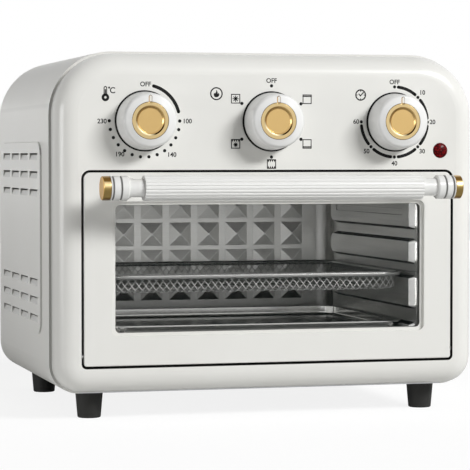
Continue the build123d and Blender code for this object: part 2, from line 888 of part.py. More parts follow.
# Three dials: a hollow knob, a brass inlay with its pointer, a shaft and what it turns
inlay_back_y = knob_front_y + inlay_thickness
knob_roof_y = inlay_back_y + knob_wall
hub_back_y = knob_back_y - knob_gap
bore_radius = shaft_radius + shaft_fit
dials = [
    ("temperature", -dial_pitch, "thermostat", switch_depth),
    ("function", 0, "function_switch", switch_depth),
    ("timer", dial_pitch, "timer_clockwork", timer_depth),
]
for name, dial_x, switch_name, depth in dials:
    dial_plane = Plane(origin=(dial_x, 0, dial_z), x_dir=(1, 0, 0), z_dir=(0, 0, 1))
    dial_axis = Axis((dial_x, 0, dial_z), (0, 1, 0))
    with BuildPart() as knob:
        with BuildSketch(dial_plane):
            with BuildLine():
                Polyline(
                    (0, inlay_back_y),
                    (inlay_radius + inlay_fit, inlay_back_y),
                    (inlay_radius + inlay_fit, knob_front_y),
                    (knob_front_radius, knob_front_y),
                    (knob_base_radius, knob_back_y),
                    (knob_base_radius - knob_wall, knob_back_y),
                    (knob_front_radius - knob_wall, knob_roof_y),
                    (hub_radius, knob_roof_y),
                    (hub_radius, hub_back_y),
                    (0, hub_back_y),
                    close=True,
                )
            make_face()
        revolve(axis=dial_axis)
        fillet(knob.edges().group_by(Axis.Y)[0].sort_by(SortBy.RADIUS)[-1], knob_edge_radius)
        with BuildSketch(facing_front(hub_back_y)):
            with Locations((dial_x, dial_z)):
                Circle(bore_radius)
                with Locations((0, -bore_radius)):
                    Rectangle(2 * bore_radius, 2 * shaft_flat, mode=Mode.SUBTRACT)
        extrude(amount=hub_back_y - knob_roof_y, mode=Mode.SUBTRACT)
    save(knob, f"{name}_knob")

    with BuildPart() as inlay:
        with BuildSketch(dial_plane):
            with BuildLine():
                Polyline(
                    (0, knob_front_y + inlay_dish_depth),
                    (inlay_dish_radius - inlay_dish_depth, knob_front_y + inlay_dish_depth),
                    (inlay_dish_radius, knob_front_y),
                    (inlay_radius - inlay_chamfer, knob_front_y),
                    (inlay_radius, knob_front_y + inlay_chamfer),
                    (inlay_radius, inlay_back_y),
                    (0, inlay_back_y),
                    close=True,
                )
            make_face()
        revolve(axis=dial_axis)
        # Pointer with a round end that lies on the knob's face
        pointer_end = pointer_length - pointer_width / 2
        with BuildSketch(facing_front(knob_front_y)):
            with Locations((dial_x, dial_z + (pointer_start + pointer_end) / 2)):
                Rectangle(pointer_width, pointer_end - pointer_start)
            with Locations((dial_x, dial_z + pointer_end)):
                Circle(pointer_width / 2)
        extrude(amount=pointer_height, taper=pointer_slope)
    save(inlay, f"{name}_inlay")

    with BuildPart() as shaft:
        with BuildSketch(facing_front(inner_face_y + switch_bore_depth)):
            with Locations((dial_x, dial_z)):
                Circle(shaft_radius)
        extrude(amount=inner_face_y + switch_bore_depth - knob_roof_y)
        # Flat that the knob's hub grips
        with BuildSketch(facing_front(hub_back_y)):
            with Locations((dial_x, dial_z - shaft_radius)):
                Rectangle(2 * shaft_radius, 2 * shaft_flat)
        extrude(amount=hub_back_y - knob_roof_y, mode=Mode.SUBTRACT)
    save(shaft, f"{name}_shaft")

    with BuildPart() as switch:
        with BuildSketch(facing_front(inner_face_y)):
            with Locations((dial_x, dial_z)):
                RectangleRounded(switch_width, switch_height, switch_corner)
        extrude(amount=-depth)
        with BuildSketch(facing_front(inner_face_y)):
            with Locations((dial_x, dial_z)):
                Circle(bore_radius)
        extrude(amount=-switch_bore_depth - seat_gap, mode=Mode.SUBTRACT)
        # Blade terminals for the wires
        with BuildSketch(facing_front(inner_face_y + depth)):
            with Locations((dial_x, dial_z)):
                with GridLocations(terminal_spread, terminal_spread, 2, 2):
                    Rectangle(terminal_width, sheet)
        extrude(amount=-terminal_length)
    save(switch, switch_name)


# Pilot lamp
lamp_axis = Axis((lamp_x, 0, lamp_z), (0, 1, 0))
lamp_plane = Plane(origin=(lamp_x, 0, lamp_z), x_dir=(1, 0, 0), z_dir=(0, 0, 1))
lamp_back_y = inner_face_y + lamp_flange
dome_sphere = (lamp_radius**2 + lamp_dome**2) / (2 * lamp_dome)
dome_middle = sqrt(dome_sphere**2 - (lamp_radius / 2) ** 2) - (dome_sphere - lamp_dome)
with BuildPart() as lamp_lens:
    with BuildSketch(lamp_plane):
        with BuildLine():
            Polyline(
                (0, front_y - lamp_dome),
                (0, lamp_back_y),
                (lamp_radius + lamp_flange, lamp_back_y),
                (lamp_radius + lamp_flange, inner_face_y),
                (lamp_radius, inner_face_y),
                (lamp_radius, front_y),
            )
            ThreePointArc(
                (lamp_radius, front_y),
                (lamp_radius / 2, front_y - dome_middle),
                (0, front_y - lamp_dome),
            )
        make_face()
    revolve(axis=lamp_axis)
save(lamp_lens, "lamp_lens")

with BuildPart() as lamp_holder:
    with BuildSketch(facing_front(lamp_back_y)):
        with Locations((lamp_x, lamp_z)):
            Circle(lamp_radius + lamp_flange)
    extrude(amount=-lamp_holder_depth)
    with BuildSketch(facing_front(lamp_back_y + lamp_holder_depth)):
        with Locations((lamp_x, lamp_z)):
            with GridLocations(lamp_terminal_spread, 1, 2, 1):
                Rectangle(sheet, lamp_terminal_width)
    extrude(amount=-terminal_length)
save(lamp_holder, "lamp_holder")


# Oven cavity: front frame, side walls, back wall, ceiling and floor
with BuildPart() as oven_front_frame:
    outline = framed_face(
        facing_front(cavity_front_y),
        door_width + 2 * (door_gap + opening_wall + frame_overlap),
        door_height + 2 * (door_gap + opening_wall + frame_overlap),
        door_middle,
        door_top_radius + door_gap + opening_wall + frame_overlap,
        door_bottom_radius + door_gap + opening_wall + frame_overlap,
    )
    extrude(outline, amount=sheet)
    with BuildSketch(facing_front(cavity_front_y)):
        with Locations((0, (cavity_floor + cavity_ceiling) / 2)):
            Rectangle(cavity_width, cavity_height)
    extrude(amount=sheet, mode=Mode.SUBTRACT)
save(oven_front_frame, "oven_front_frame")

pad_front_y = cavity_front_y + pad_front_inset
pad_back_y = cavity_back_y - pad_back_inset
pad_middle_y = (pad_front_y + pad_back_y) / 2


def pad_outlines(plane, side, inset):
    """Outlines of the four shelf pads, as wide as they start in the wall, less an inset."""
    with BuildSketch(plane) as outlines:
        for low, high in pad_faces:
            with BuildSketch(mode=Mode.PRIVATE) as pad:
                Rectangle(
                    pad_back_y - pad_front_y + 2 * (pad_run - inset),
                    high - low + 2 * (pad_run - inset),
                )
                ends = pad.vertices().group_by(Axis.X)
                fillet(ends[-1 if side > 0 else 0], pad_front_radius - inset)
                ends = pad.vertices().group_by(Axis.X)
                fillet(ends[0 if side > 0 else -1], pad_back_radius - inset)
            with Locations((-side * pad_middle_y, cavity_floor + (low + high) / 2)):
                add(pad.sketch)
    return outlines.sketch


for name, side in (("cavity_left_wall", -1), ("cavity_right_wall", 1)):
    with BuildPart() as side_wall:
        with BuildSketch(facing_side(side * cavity_half, side)):
            wall_middle_y = (cavity_front_y + side_wall_end_y) / 2
            with Locations((side * wall_middle_y, cavity_floor + cavity_height / 2)):
                Rectangle(side_wall_end_y - cavity_front_y, cavity_height)
        extrude(amount=sheet)
        # Pads pressed inwards, which leave grooves for the rack and the tray between them
        outline = pad_outlines(facing_side(side * cavity_half, -side), side, 0)
        extrude(outline, amount=pad_press, taper=pad_slope)
        hollow_inset = sheet * (1 - tan(radians(pad_slope)))
        outline = pad_outlines(facing_side(side * (cavity_half + sheet), -side), side, hollow_inset)
        extrude(outline, amount=pad_press, taper=pad_slope, mode=Mode.SUBTRACT)
        # Long shallow bead in the top pad
        with BuildSketch(facing_side(side * pad_face_x, side)):
            with Locations((side * pad_middle_y, cavity_floor + bead_slot_rise)):
                SlotOverall(pad_back_y - pad_front_y - 2 * bead_slot_inset, bead_slot_height)
        extrude(amount=bead_slot_depth, mode=Mode.SUBTRACT)
        # Holes for the ceramic ends of the heating rods
        with BuildSketch(facing_side(side * (pad_face_x - sheet), side)):
            for rod_y in rod_ys:
                with Locations((side * rod_y, rod_low_z), (side * rod_y, rod_high_z)):
                    Circle(ceramic_radius + ceramic_fit)
        extrude(amount=pad_press + 3 * sheet, mode=Mode.SUBTRACT)
    save(side_wall, name)


def pyramid_solid(shrink):
    """One pressed pyramid, with its base on the plane that it is placed on."""
    with BuildPart() as pyramid:
        with BuildSketch():
            Rectangle(pyramid_width - 2 * shrink, pyramid_height - 2 * shrink)
        with BuildSketch(Plane.XY.offset(pyramid_rise)):
            Rectangle(pyramid_tip, pyramid_tip)
        loft(ruled=True)
    return pyramid.part


pyramid_outside = pyramid_solid(0)
pyramid_inside = pyramid_solid(sheet / 2)
pyramid_middle_z = cavity_floor + pyramid_first_rise + (pyramid_rows - 1) * pyramid_pitch_z / 2
with BuildPart() as cavity_back_wall:
    outline = framed_face(
        Plane.XY.offset(cavity_floor),
        cavity_width + 2 * sheet,
        arm_length + sheet,
        side_wall_end_y + (arm_length + sheet) / 2,
        cavity_corner + sheet,
        0,
    )
    extrude(outline, amount=cavity_height)
    outline = framed_face(
        Plane.XY.offset(cavity_floor),
        cavity_width,
        arm_length,
        side_wall_end_y + arm_length / 2,
        cavity_corner,
        0,
    )
    extrude(outline, amount=cavity_height, mode=Mode.SUBTRACT)
    with Locations(facing_front(cavity_back_y)):
        with Locations((0, pyramid_middle_z)):
            with GridLocations(pyramid_pitch_x, pyramid_pitch_z, pyramid_columns, pyramid_rows):
                add(pyramid_outside)
    with Locations(facing_front(cavity_back_y + sheet)):
        with Locations((0, pyramid_middle_z)):
            with GridLocations(pyramid_pitch_x, pyramid_pitch_z, pyramid_columns, pyramid_rows):
                add(pyramid_inside, mode=Mode.SUBTRACT)
save(cavity_back_wall, "cavity_back_wall")


def cavity_cover(z):
    """Plate over the whole plan of the cavity, with its back corners rounded."""
    return framed_face(
        Plane.XY.offset(z),
        cavity_width + 2 * sheet,
        cavity_depth + sheet,
        cavity_front_y + (cavity_depth + sheet) / 2,
        cavity_corner + sheet,
        0,
    )


with BuildPart() as cavity_ceiling_plate:
    outline = cavity_cover(cavity_ceiling)
    extrude(outline, amount=sheet)
    # Air slots under the fan
    with BuildSketch(Plane.XY.offset(cavity_ceiling)):
        with Locations((0, fan_y)):
            with PolarLocations(ceiling_slot_circle, ceiling_slot_count):
                SlotOverall(ceiling_slot_length, ceiling_slot_width)
    extrude(amount=sheet, mode=Mode.SUBTRACT)
save(cavity_ceiling_plate, "cavity_ceiling")

with BuildPart() as cavity_floor_plate:
    outline = cavity_cover(cavity_floor - sheet)
    extrude(outline, amount=sheet)
save(cavity_floor_plate, "cavity_floor")


# Heating rods, carried at both ends by ceramic bushes in the side walls
rod_names = ["lower_heater_front", "lower_heater_back", "upper_heater_front", "upper_heater_back"]
rod_places = [(rod_y, rod_z) for rod_z in rod_zs for rod_y in rod_ys]
for name, (rod_y, rod_z) in zip(rod_names, rod_places):
    with BuildPart() as rod:
        with BuildSketch(facing_side(-cavity_half - rod_overhang, 1)):
            with Locations((rod_y, rod_z)):
                Circle(rod_radius)
        extrude(amount=cavity_width + 2 * rod_overhang)
        chamfer(rod.edges().filter_by(GeomType.CIRCLE), rod_chamfer)
    save(rod, name)

with BuildPart() as heater_ceramics:
    for side in (-1, 1):
        with BuildSketch(facing_side(side * pad_face_x, side)):
            for rod_y, rod_z in rod_places:
                with Locations((side * rod_y, rod_z)):
                    Circle(ceramic_radius)
        extrude(amount=pad_press + ceramic_overhang)
        with BuildSketch(facing_side(side * pad_face_x, -side)):
            for rod_y, rod_z in rod_places:
                with Locations((-side * rod_y, rod_z)):
                    Circle(ceramic_flange_radius)
        extrude(amount=ceramic_flange)
    with BuildSketch(facing_side(-half_width, 1)):
        for rod_y, rod_z in rod_places:
            with Locations((rod_y, rod_z)):
                Circle(rod_radius + ceramic_fit)
    extrude(amount=body_width, mode=Mode.SUBTRACT)
save(heater_ceramics, "heater_ceramics")


# Convection fan in its drum on the ceiling, with the motor above
drum_bottom = cavity_ceiling + sheet
drum_top = drum_bottom + drum_height
with BuildPart() as fan_drum:
    with Locations((0, fan_y, drum_bottom)):
        Cylinder(drum_radius, drum_height, align=from_below)
        Cylinder(drum_radius - sheet, drum_height - sheet, align=from_below, mode=Mode.SUBTRACT)
        Cylinder(fan_shaft_radius + sheet, drum_height, align=from_below, mode=Mode.SUBTRACT)
    with BuildSketch(Plane.XY.offset(drum_bottom)):
        with Locations((0, fan_y)):
            Circle(drum_radius + drum_flange)
            Circle(drum_radius - sheet, mode=Mode.SUBTRACT)
    extrude(amount=sheet)
save(fan_drum, "fan_drum")

impeller_bottom = drum_bottom + impeller_gap
impeller_disc = impeller_bottom + blade_height
with BuildPart() as fan_impeller:
    with Locations((0, fan_y, impeller_disc)):
        Cylinder(impeller_radius, sheet, align=from_below)
    with Locations((0, fan_y, impeller_bottom)):
        Cylinder(fan_hub_radius, blade_height + 2 * sheet, align=from_below)
        with PolarLocations((fan_hub_radius + impeller_radius) / 2, blade_count):
            Box(
                blade_length,
                blade_thickness,
                blade_height + sheet / 2,
                rotation=(0, 0, blade_sweep),
                align=from_below,
            )
        Cylinder(
            fan_shaft_radius + pin_press_fit,
            blade_height + 2 * sheet,
            align=from_below,
            mode=Mode.SUBTRACT,
        )
save(fan_impeller, "fan_impeller")

bracket_top = drum_top + bracket_rise + bracket_thickness
with BuildPart() as fan_shaft:
    with Locations((0, fan_y, impeller_bottom)):
        Cylinder(fan_shaft_radius, bracket_top + motor_height - impeller_bottom - seat_gap, align=from_below)
save(fan_shaft, "fan_shaft")

with BuildPart() as motor_bracket:
    leg_x = bracket_length / 2 - bracket_foot
    with BuildSketch(facing_front(fan_y + bracket_width / 2)):
        with BuildLine():
            Polyline(
                (-bracket_length / 2, drum_top),
                (-leg_x, drum_top),
                (-leg_x, bracket_top - bracket_thickness),
                (leg_x, bracket_top - bracket_thickness),
                (leg_x, drum_top),
                (bracket_length / 2, drum_top),
                (bracket_length / 2, drum_top + bracket_thickness),
                (leg_x + bracket_thickness, drum_top + bracket_thickness),
                (leg_x + bracket_thickness, bracket_top),
                (-leg_x - bracket_thickness, bracket_top),
                (-leg_x - bracket_thickness, drum_top + bracket_thickness),
                (-bracket_length / 2, drum_top + bracket_thickness),
                close=True,
            )
        make_face()
    extrude(amount=bracket_width)
    with Locations((0, fan_y, bracket_top)):
        Hole(fan_shaft_radius + sheet, depth=bracket_thickness)
save(motor_bracket, "motor_bracket")

with BuildPart() as fan_motor:
    with BuildSketch(Plane.XY.offset(bracket_top)):
        with Locations((0, fan_y)):
            RectangleRounded(motor_width, motor_length, motor_corner)
    extrude(amount=motor_height)
    with Locations((0, fan_y, bracket_top + motor_height)):
        Cylinder(motor_bell_radius, motor_bell_height, align=from_below)
    fillet(fan_motor.edges().group_by(Axis.Z)[-1], motor_bell_round)
    with Locations((0, fan_y, bracket_top)):
        Cylinder(fan_shaft_radius + shaft_fit, motor_height, align=from_below, mode=Mode.SUBTRACT)
save(fan_motor, "fan_motor")


# Wire basket that hangs in the grooves by its rim
slope = radians(pad_slope)
basket_half = cavity_half - basket_side_gap
basket_front_y = cavity_front_y + basket_front_inset
basket_back_y = cavity_back_y - basket_back_inset
basket_rail_z = cavity_floor + pad_faces[1][1]
basket_z = (
    basket_rail_z + (basket_half - pad_face_x) * tan(slope) + (wire_radius + seat_gap) / cos(slope)
)
with BuildPart() as basket_rim:
    with BuildLine():
        FilletPolyline(
            (0, basket_front_y, basket_z),
            (basket_half, basket_front_y, basket_z),
            (basket_half, basket_back_y, basket_z),
            (0, basket_back_y, basket_z),
            radius=basket_corner,
        )
    with BuildSketch(Plane(origin=(0, basket_front_y, basket_z), x_dir=(0, 1, 0), z_dir=(1, 0, 0))):
        Circle(wire_radius)
    sweep()
    mirror(about=Plane.YZ)
save(basket_rim, "basket_rim")

mesh_half = pad_face_x - basket_pad_gap
mesh_inset = basket_half - mesh_half
mesh_length = basket_back_y - basket_front_y - 2 * mesh_inset
mesh_middle_y = (basket_front_y + basket_back_y) / 2
mesh_bottom = basket_z - basket_depth
flange_inset = wire_radius + mesh_fit
mesh_columns = int((2 * mesh_half - mesh_pitch) / mesh_pitch)
mesh_lines = int((mesh_length - mesh_pitch) / mesh_pitch)
with BuildPart() as basket_mesh:
    with BuildSketch(Plane.XY.offset(mesh_bottom)):
        with Locations((0, mesh_middle_y)):
            RectangleRounded(2 * mesh_half, mesh_length, basket_corner - mesh_inset)
    extrude(amount=basket_depth + mesh_wall / 2)
    fillet(basket_mesh.edges().group_by(Axis.Z)[0], basket_foot_radius)
    offset(amount=-mesh_wall, openings=basket_mesh.faces().sort_by(Axis.Z)[-1])
    # Edge of the mesh, which is wrapped to the rim
    with BuildSketch(Plane.XY.offset(basket_z - mesh_wall / 2)):
        with Locations((0, mesh_middle_y)):
            RectangleRounded(
                2 * (basket_half - flange_inset),
                basket_back_y - basket_front_y - 2 * flange_inset,
                basket_corner - flange_inset,
            )
            RectangleRounded(
                2 * (mesh_half - mesh_wall),
                mesh_length - 2 * mesh_wall,
                basket_corner - mesh_inset - mesh_wall,
                mode=Mode.SUBTRACT,
            )
    extrude(amount=mesh_wall)
    with BuildSketch(Plane.XY.offset(mesh_bottom)):
        with Locations((0, mesh_middle_y)):
            with GridLocations(mesh_pitch, mesh_pitch, mesh_columns, mesh_lines):
                Rectangle(mesh_hole, mesh_hole, rotation=45)
    extrude(amount=mesh_wall, mode=Mode.SUBTRACT)
save(basket_mesh, "basket_mesh")


# Baking tray that rests on the lowest pads
tray_half = cavity_half - tray_side_gap
tray_front_y = cavity_front_y + tray_front_inset
tray_back_y = cavity_back_y - tray_back_inset
tray_middle_y = (tray_front_y + tray_back_y) / 2
tray_rail_z = cavity_floor + pad_faces[0][1]
tray_rim_z = tray_rail_z + (tray_half - pad_face_x) * tan(slope) + seat_gap
tray_body_half = pad_face_x - tray_pad_gap
tray_inset = tray_half - tray_body_half
with BuildPart() as baking_tray:
    with BuildSketch(Plane.XY.offset(tray_rim_z + tray_wall - tray_depth)):
        with Locations((0, tray_middle_y)):
            RectangleRounded(
                2 * tray_body_half, tray_back_y - tray_front_y - 2 * tray_inset, tray_corner - tray_inset
            )
    extrude(amount=tray_depth)
    fillet(baking_tray.edges().group_by(Axis.Z)[0], tray_foot_radius)
    offset(amount=-tray_wall, openings=baking_tray.faces().sort_by(Axis.Z)[-1])
    with BuildSketch(Plane.XY.offset(tray_rim_z)):
        with Locations((0, tray_middle_y)):
            RectangleRounded(2 * tray_half, tray_back_y - tray_front_y, tray_corner)
            RectangleRounded(
                2 * (tray_body_half - tray_wall),
                tray_back_y - tray_front_y - 2 * (tray_inset + tray_wall),
                tray_corner - tray_inset - tray_wall,
                mode=Mode.SUBTRACT,
            )
    extrude(amount=tray_wall)
save(baking_tray, "baking_tray")
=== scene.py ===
"""Looks of the countertop air fryer oven: its finishes, the print round its dials and its woven basket."""
import math

import bmesh
import bpy
from mathutils import Matrix, Vector


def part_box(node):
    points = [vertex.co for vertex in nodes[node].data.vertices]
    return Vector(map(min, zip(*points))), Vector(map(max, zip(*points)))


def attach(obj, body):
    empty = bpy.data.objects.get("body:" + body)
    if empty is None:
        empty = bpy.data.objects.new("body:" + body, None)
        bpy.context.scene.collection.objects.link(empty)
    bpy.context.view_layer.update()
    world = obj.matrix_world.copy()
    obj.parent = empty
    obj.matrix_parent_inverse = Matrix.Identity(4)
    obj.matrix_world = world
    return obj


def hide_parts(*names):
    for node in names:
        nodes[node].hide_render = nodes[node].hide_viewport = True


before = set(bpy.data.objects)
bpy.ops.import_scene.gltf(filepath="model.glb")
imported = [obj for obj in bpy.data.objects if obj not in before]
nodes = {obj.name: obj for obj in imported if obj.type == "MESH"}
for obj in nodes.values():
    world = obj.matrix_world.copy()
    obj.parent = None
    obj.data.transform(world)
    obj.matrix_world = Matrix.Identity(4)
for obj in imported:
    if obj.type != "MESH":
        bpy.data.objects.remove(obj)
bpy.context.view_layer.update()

MM = 0.001
TURN = 2 * math.pi

# Places read from the frame
front_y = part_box("front_fascia")[0].y
seam_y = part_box("housing_wrap")[0].y
dial_names = ("temperature", "function", "timer")
dial_x = {name: sum(corner.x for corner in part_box(f"{name}_shaft")) / 2 for name in dial_names}
dial_z = sum(corner.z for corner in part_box("function_shaft")) / 2
grip_low, grip_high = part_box("handle_grip")
grip_centre = (grip_low + grip_high) / 2
collar_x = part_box("handle_bracket_right")[1].x
door_low, door_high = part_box("door_frame")
door_middle_z = (door_low.z + door_high.z) / 2
door_half_z = (door_high.z - door_low.z) / 2
mesh_low, mesh_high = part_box("basket_mesh")
rim_low, rim_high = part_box("basket_rim")
tray_front_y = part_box("baking_tray")[0].y
tray_top_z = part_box("baking_tray")[1].z

# Sizes of the door, the dials and the pressed walls that their boxes don't give
door_head_radius = 5.5 * MM
door_foot_radius = 2.5 * MM
door_gap = 1.6 * MM
flat_side_x = 177.5 * MM
side_panel_x = 184.25 * MM
knob_foot_radius = 24.0 * MM
inlay_edge = 15.05 * MM
dish_edge_inner, dish_edge_outer = 11.1 * MM, 12.3 * MM
pointer_start, pointer_end = 15.6 * MM, 19.45 * MM
pointer_half_width = 0.95 * MM
pyramid_pitch_x, pyramid_half_x = 27.75 * MM, 10.65 * MM
pyramid_pitch_z, pyramid_half_z = 25.9 * MM, 11.05 * MM
first_pyramid_z = 93.7 * MM
pyramids_half_x = 111.0 * MM

# Where the painted light and shade on the sheet metal change
lower_louvres_z = 145.0 * MM
basket_shadow_z = 105.0 * MM
pad_shadow_z = 96.0 * MM
pad_back_y = 110.0 * MM
tray_back_y = 60.0 * MM


class Wire:
    """A shader socket. Sums, products and powers of wires and numbers add their Math nodes."""

    def __init__(self, finish, socket):
        self.finish = finish
        self.socket = socket

    def math(self, operation, *values):
        """A sum of wires and numbers, done by a Math node."""
        return self.finish.node("Math", {"operation": operation}, dict(enumerate(values)))

    def __add__(self, other):
        return self.math("ADD", self, other)

    def __radd__(self, other):
        return self.math("ADD", other, self)

    def __sub__(self, other):
        return self.math("SUBTRACT", self, other)

    def __rsub__(self, other):
        return self.math("SUBTRACT", other, self)

    def __mul__(self, other):
        return self.math("MULTIPLY", self, other)

    def __rmul__(self, other):
        return self.math("MULTIPLY", other, self)

    def __truediv__(self, other):
        return self.math("DIVIDE", self, other)

    def __rtruediv__(self, other):
        return self.math("DIVIDE", other, self)

    def __pow__(self, other):
        return self.math("POWER", self, other)

    def __abs__(self):
        return self.math("ABSOLUTE", self)


class Finish:
    """A material, or the world, as it is built node by node."""

    def __init__(self, name, library=bpy.data.materials):
        self.holder = library.new(name)
        self.holder.use_nodes = True
        self.tree = self.holder.node_tree
        self.tree.nodes.clear()

    def node(self, kind, settings=None, inputs=None, output=0):
        """Add a node: its settings first, then the values or links of its sockets."""
        made = self.tree.nodes.new("ShaderNode" + kind)
        for name, value in (settings or {}).items():
            if name == "stops":
                self.set_stops(made.color_ramp, value)
            else:
                setattr(made, name, value)
        for place, value in (inputs or {}).items():
            if isinstance(value, Wire):
                self.tree.links.new(value.socket, made.inputs[place])
            else:
                made.inputs[place].default_value = value
        return Wire(self, made.outputs[output]) if made.outputs else None

    def set_stops(self, ramp, stops):
        """Give a colour ramp its stops, each a place and a colour."""
        while len(ramp.elements) < len(stops):
            ramp.elements.new(1.0)
        for element, (place, colour) in zip(ramp.elements, stops):
            element.position = place
            element.color = (*colour, 1)

    def place(self):
        """The point on the surface, in metres in the part's own frame."""
        return self.node("TexCoord", output="Object")

    def parts(self, vector):
        """The three numbers of a vector."""
        split = self.node("SeparateXYZ", None, {0: vector})
        return [Wire(self, socket) for socket in split.socket.node.outputs]

    def axes(self):
        """The point on the surface as three numbers."""
        return self.parts(self.place())

    def facing(self):
        """The three parts of the direction that the surface faces, in the part's own frame."""
        return self.parts(self.node("TexCoord", output="Normal"))

    def stretched(self, x, y, z):
        """The point scaled along each axis, so that a texture on it is drawn out."""
        return self.node("VectorMath", {"operation": "MULTIPLY"}, {0: self.place(), 1: (x, y, z)})

    def joined(self, x, y, z):
        """A vector of three numbers."""
        return self.node("CombineXYZ", None, {0: x, 1: y, 2: z})

    def noise(self, vector, scale, detail=2.0, roughness=0.5):
        """Cloudy noise about 0.5, with so many clouds to the metre."""
        inputs = {"Vector": vector, "Scale": scale, "Detail": detail, "Roughness": roughness}
        return self.node("TexNoise", None, inputs)

    def above(self, value, limit, soft):
        """1 above the limit and 0 below it, with the change spread over soft to either side."""
        return self.node("MapRange", {"clamp": True}, {0: value, 1: limit - soft, 2: limit + soft})

    def below(self, value, limit, soft):
        """1 below the limit and 0 above it, with the change spread over soft to either side."""
        return self.node("MapRange", {"clamp": True}, {0: value, 1: limit + soft, 2: limit - soft})

    def between(self, value, low, high, soft):
        """1 where the value lies between low and high, with soft ends, and 0 outside."""
        return self.above(value, low, soft) * self.below(value, high, soft)

    def most(self, first, second):
        """The larger of two values."""
        return self.node("Math", {"operation": "MAXIMUM"}, {0: first, 1: second})

    def least(self, first, second):
        """The smaller of two values."""
        return self.node("Math", {"operation": "MINIMUM"}, {0: first, 1: second})

    def repeated(self, value):
        """The value brought between -0.5 and 0.5 by whole steps."""
        return self.node("Math", {"operation": "WRAP"}, {0: value, 1: 0.5, 2: -0.5})

    def tint(self, share, first, second):
        """First colour where share is 0 and second where it is 1."""
        inputs = {0: share}
        for place, colour in ((6, first), (7, second)):
            inputs[place] = colour if isinstance(colour, Wire) else (*colour, 1)
        return self.node("Mix", {"data_type": "RGBA"}, inputs, 2)

    def bump(self, height, depth, strength=1.0, normal=None):
        """Relief of the given depth in metres."""
        inputs = {"Height": height, "Distance": depth, "Strength": strength}
        if normal is not None:
            inputs["Normal"] = normal
        return self.node("Bump", None, inputs)

    def turned_front(self, normal, share):
        """The normal, turned by a share towards the front of the oven and a little up."""
        settings = {"vector_type": "NORMAL", "convert_from": "OBJECT", "convert_to": "WORLD"}
        front = self.node("VectorTransform", settings, {0: (0.0, -1.0, 0.07)})
        mixed = self.node("Mix", {"data_type": "VECTOR"}, {0: share, 4: normal, 5: front}, 1)
        return self.node("VectorMath", {"operation": "NORMALIZE"}, {0: mixed})

    def soft_edges(self, radius):
        """Edges that catch the light as if they were slightly rounded."""
        return self.node("Bevel", {"samples": 4}, {"Radius": radius})

    def surface(self, colour, roughness, metallic=0.0, normal=None, **fixed):
        """Finish with a Principled surface. Fixed sockets are named with underscores for spaces."""
        inputs = {"Base Color": colour, "Roughness": roughness, "Metallic": metallic}
        if normal is not None:
            inputs["Normal"] = normal
        for name, value in fixed.items():
            inputs[name.replace("_", " ")] = value
        return self.close(self.node("BsdfPrincipled", None, inputs))

    def close(self, shader, kind="Material"):
        """Join the shader to the output and give back the finished material or world."""
        self.node("Output" + kind, None, {0: shader})
        return self.holder


# Painted shade on the mouldings: each gives a share of deep, dull shadow colour
def past_door(finish, x, z):
    """How far a point lies outside the door's rounded outline, or under 0 inside it."""
    upper = finish.above(z, door_middle_z, 1.0 * MM)
    round_off = door_foot_radius + (door_head_radius - door_foot_radius) * upper
    across = abs(x) - door_high.x + round_off
    along = abs(z - door_middle_z) - door_half_z + round_off
    corner = (finish.most(across, 0.0) ** 2 + finish.most(along, 0.0) ** 2) ** 0.5
    inside = finish.least(finish.most(across, along), 0.0)
    return corner + inside - round_off


def door_gap_painted_shade(finish):
    """1 where shade is painted: on the walls of the gap round the door and on the very edges beside it."""
    x, y, z = finish.axes()
    outside = past_door(finish, x, z)
    behind = finish.above(y, front_y + 0.25 * MM, 0.15 * MM)
    reach = 0.35 * MM + 1.2 * MM * behind
    edge = 0.05 * MM
    return finish.above(outside + reach, edge, edge) * finish.below(outside - reach, door_gap + edge, edge)


def from_dial(finish, name):
    """Distance of a point from the axis of a dial."""
    x, y, z = finish.axes()
    return ((x - dial_x[name]) ** 2 + (z - dial_z) ** 2) ** 0.5


def under_knob_painted_shade(finish):
    """1 on the fascia right under each knob, where its shadow is painted."""
    discs = [finish.below(from_dial(finish, name), knob_foot_radius, 0.4 * MM) for name in dial_names]
    return discs[0] + discs[1] + discs[2]


def side_share(finish, x):
    """1 on the flat sides and little over the top and underneath."""
    return 0.15 + 0.85 * finish.above(abs(x), flat_side_x, 5.5 * MM)


def fascia_painted_shade(finish):
    """Painted shade in the gap round the door, in the gaps under the knobs, and a little along the seam to
    the wrap.
    """
    x, y, z = finish.axes()
    seam = finish.above(y, seam_y - 1.7 * MM, 0.5 * MM) * side_share(finish, x)
    return finish.most(door_gap_painted_shade(finish), finish.most(under_knob_painted_shade(finish), 0.3 * seam))


def knob_base_painted_shade(finish):
    """1 on the undercut at the foot of a knob, where its shade is painted."""
    return finish.above(finish.axes()[1], front_y - 2.0 * MM, 0.6 * MM)


def grip_end_painted_shade(finish):
    """Part painted shade on the two ends of the grip, which face its necks."""
    return 0.3 * finish.above(abs(finish.facing()[0]), 0.75, 0.15)


def collar_groove_painted_shade(finish):
    """A strong share of painted shade in the two grooves of each collar."""
    x = abs(finish.axes()[0])
    grooves = [finish.between(x, collar_x - start, collar_x - start + 1.6 * MM, 0.3 * MM)
               for start in (9.1 * MM, 2.5 * MM)]
    return 0.7 * (grooves[0] + grooves[1])


# Mouldings and paint
shadow_black = (0.012, 0.012, 0.011)


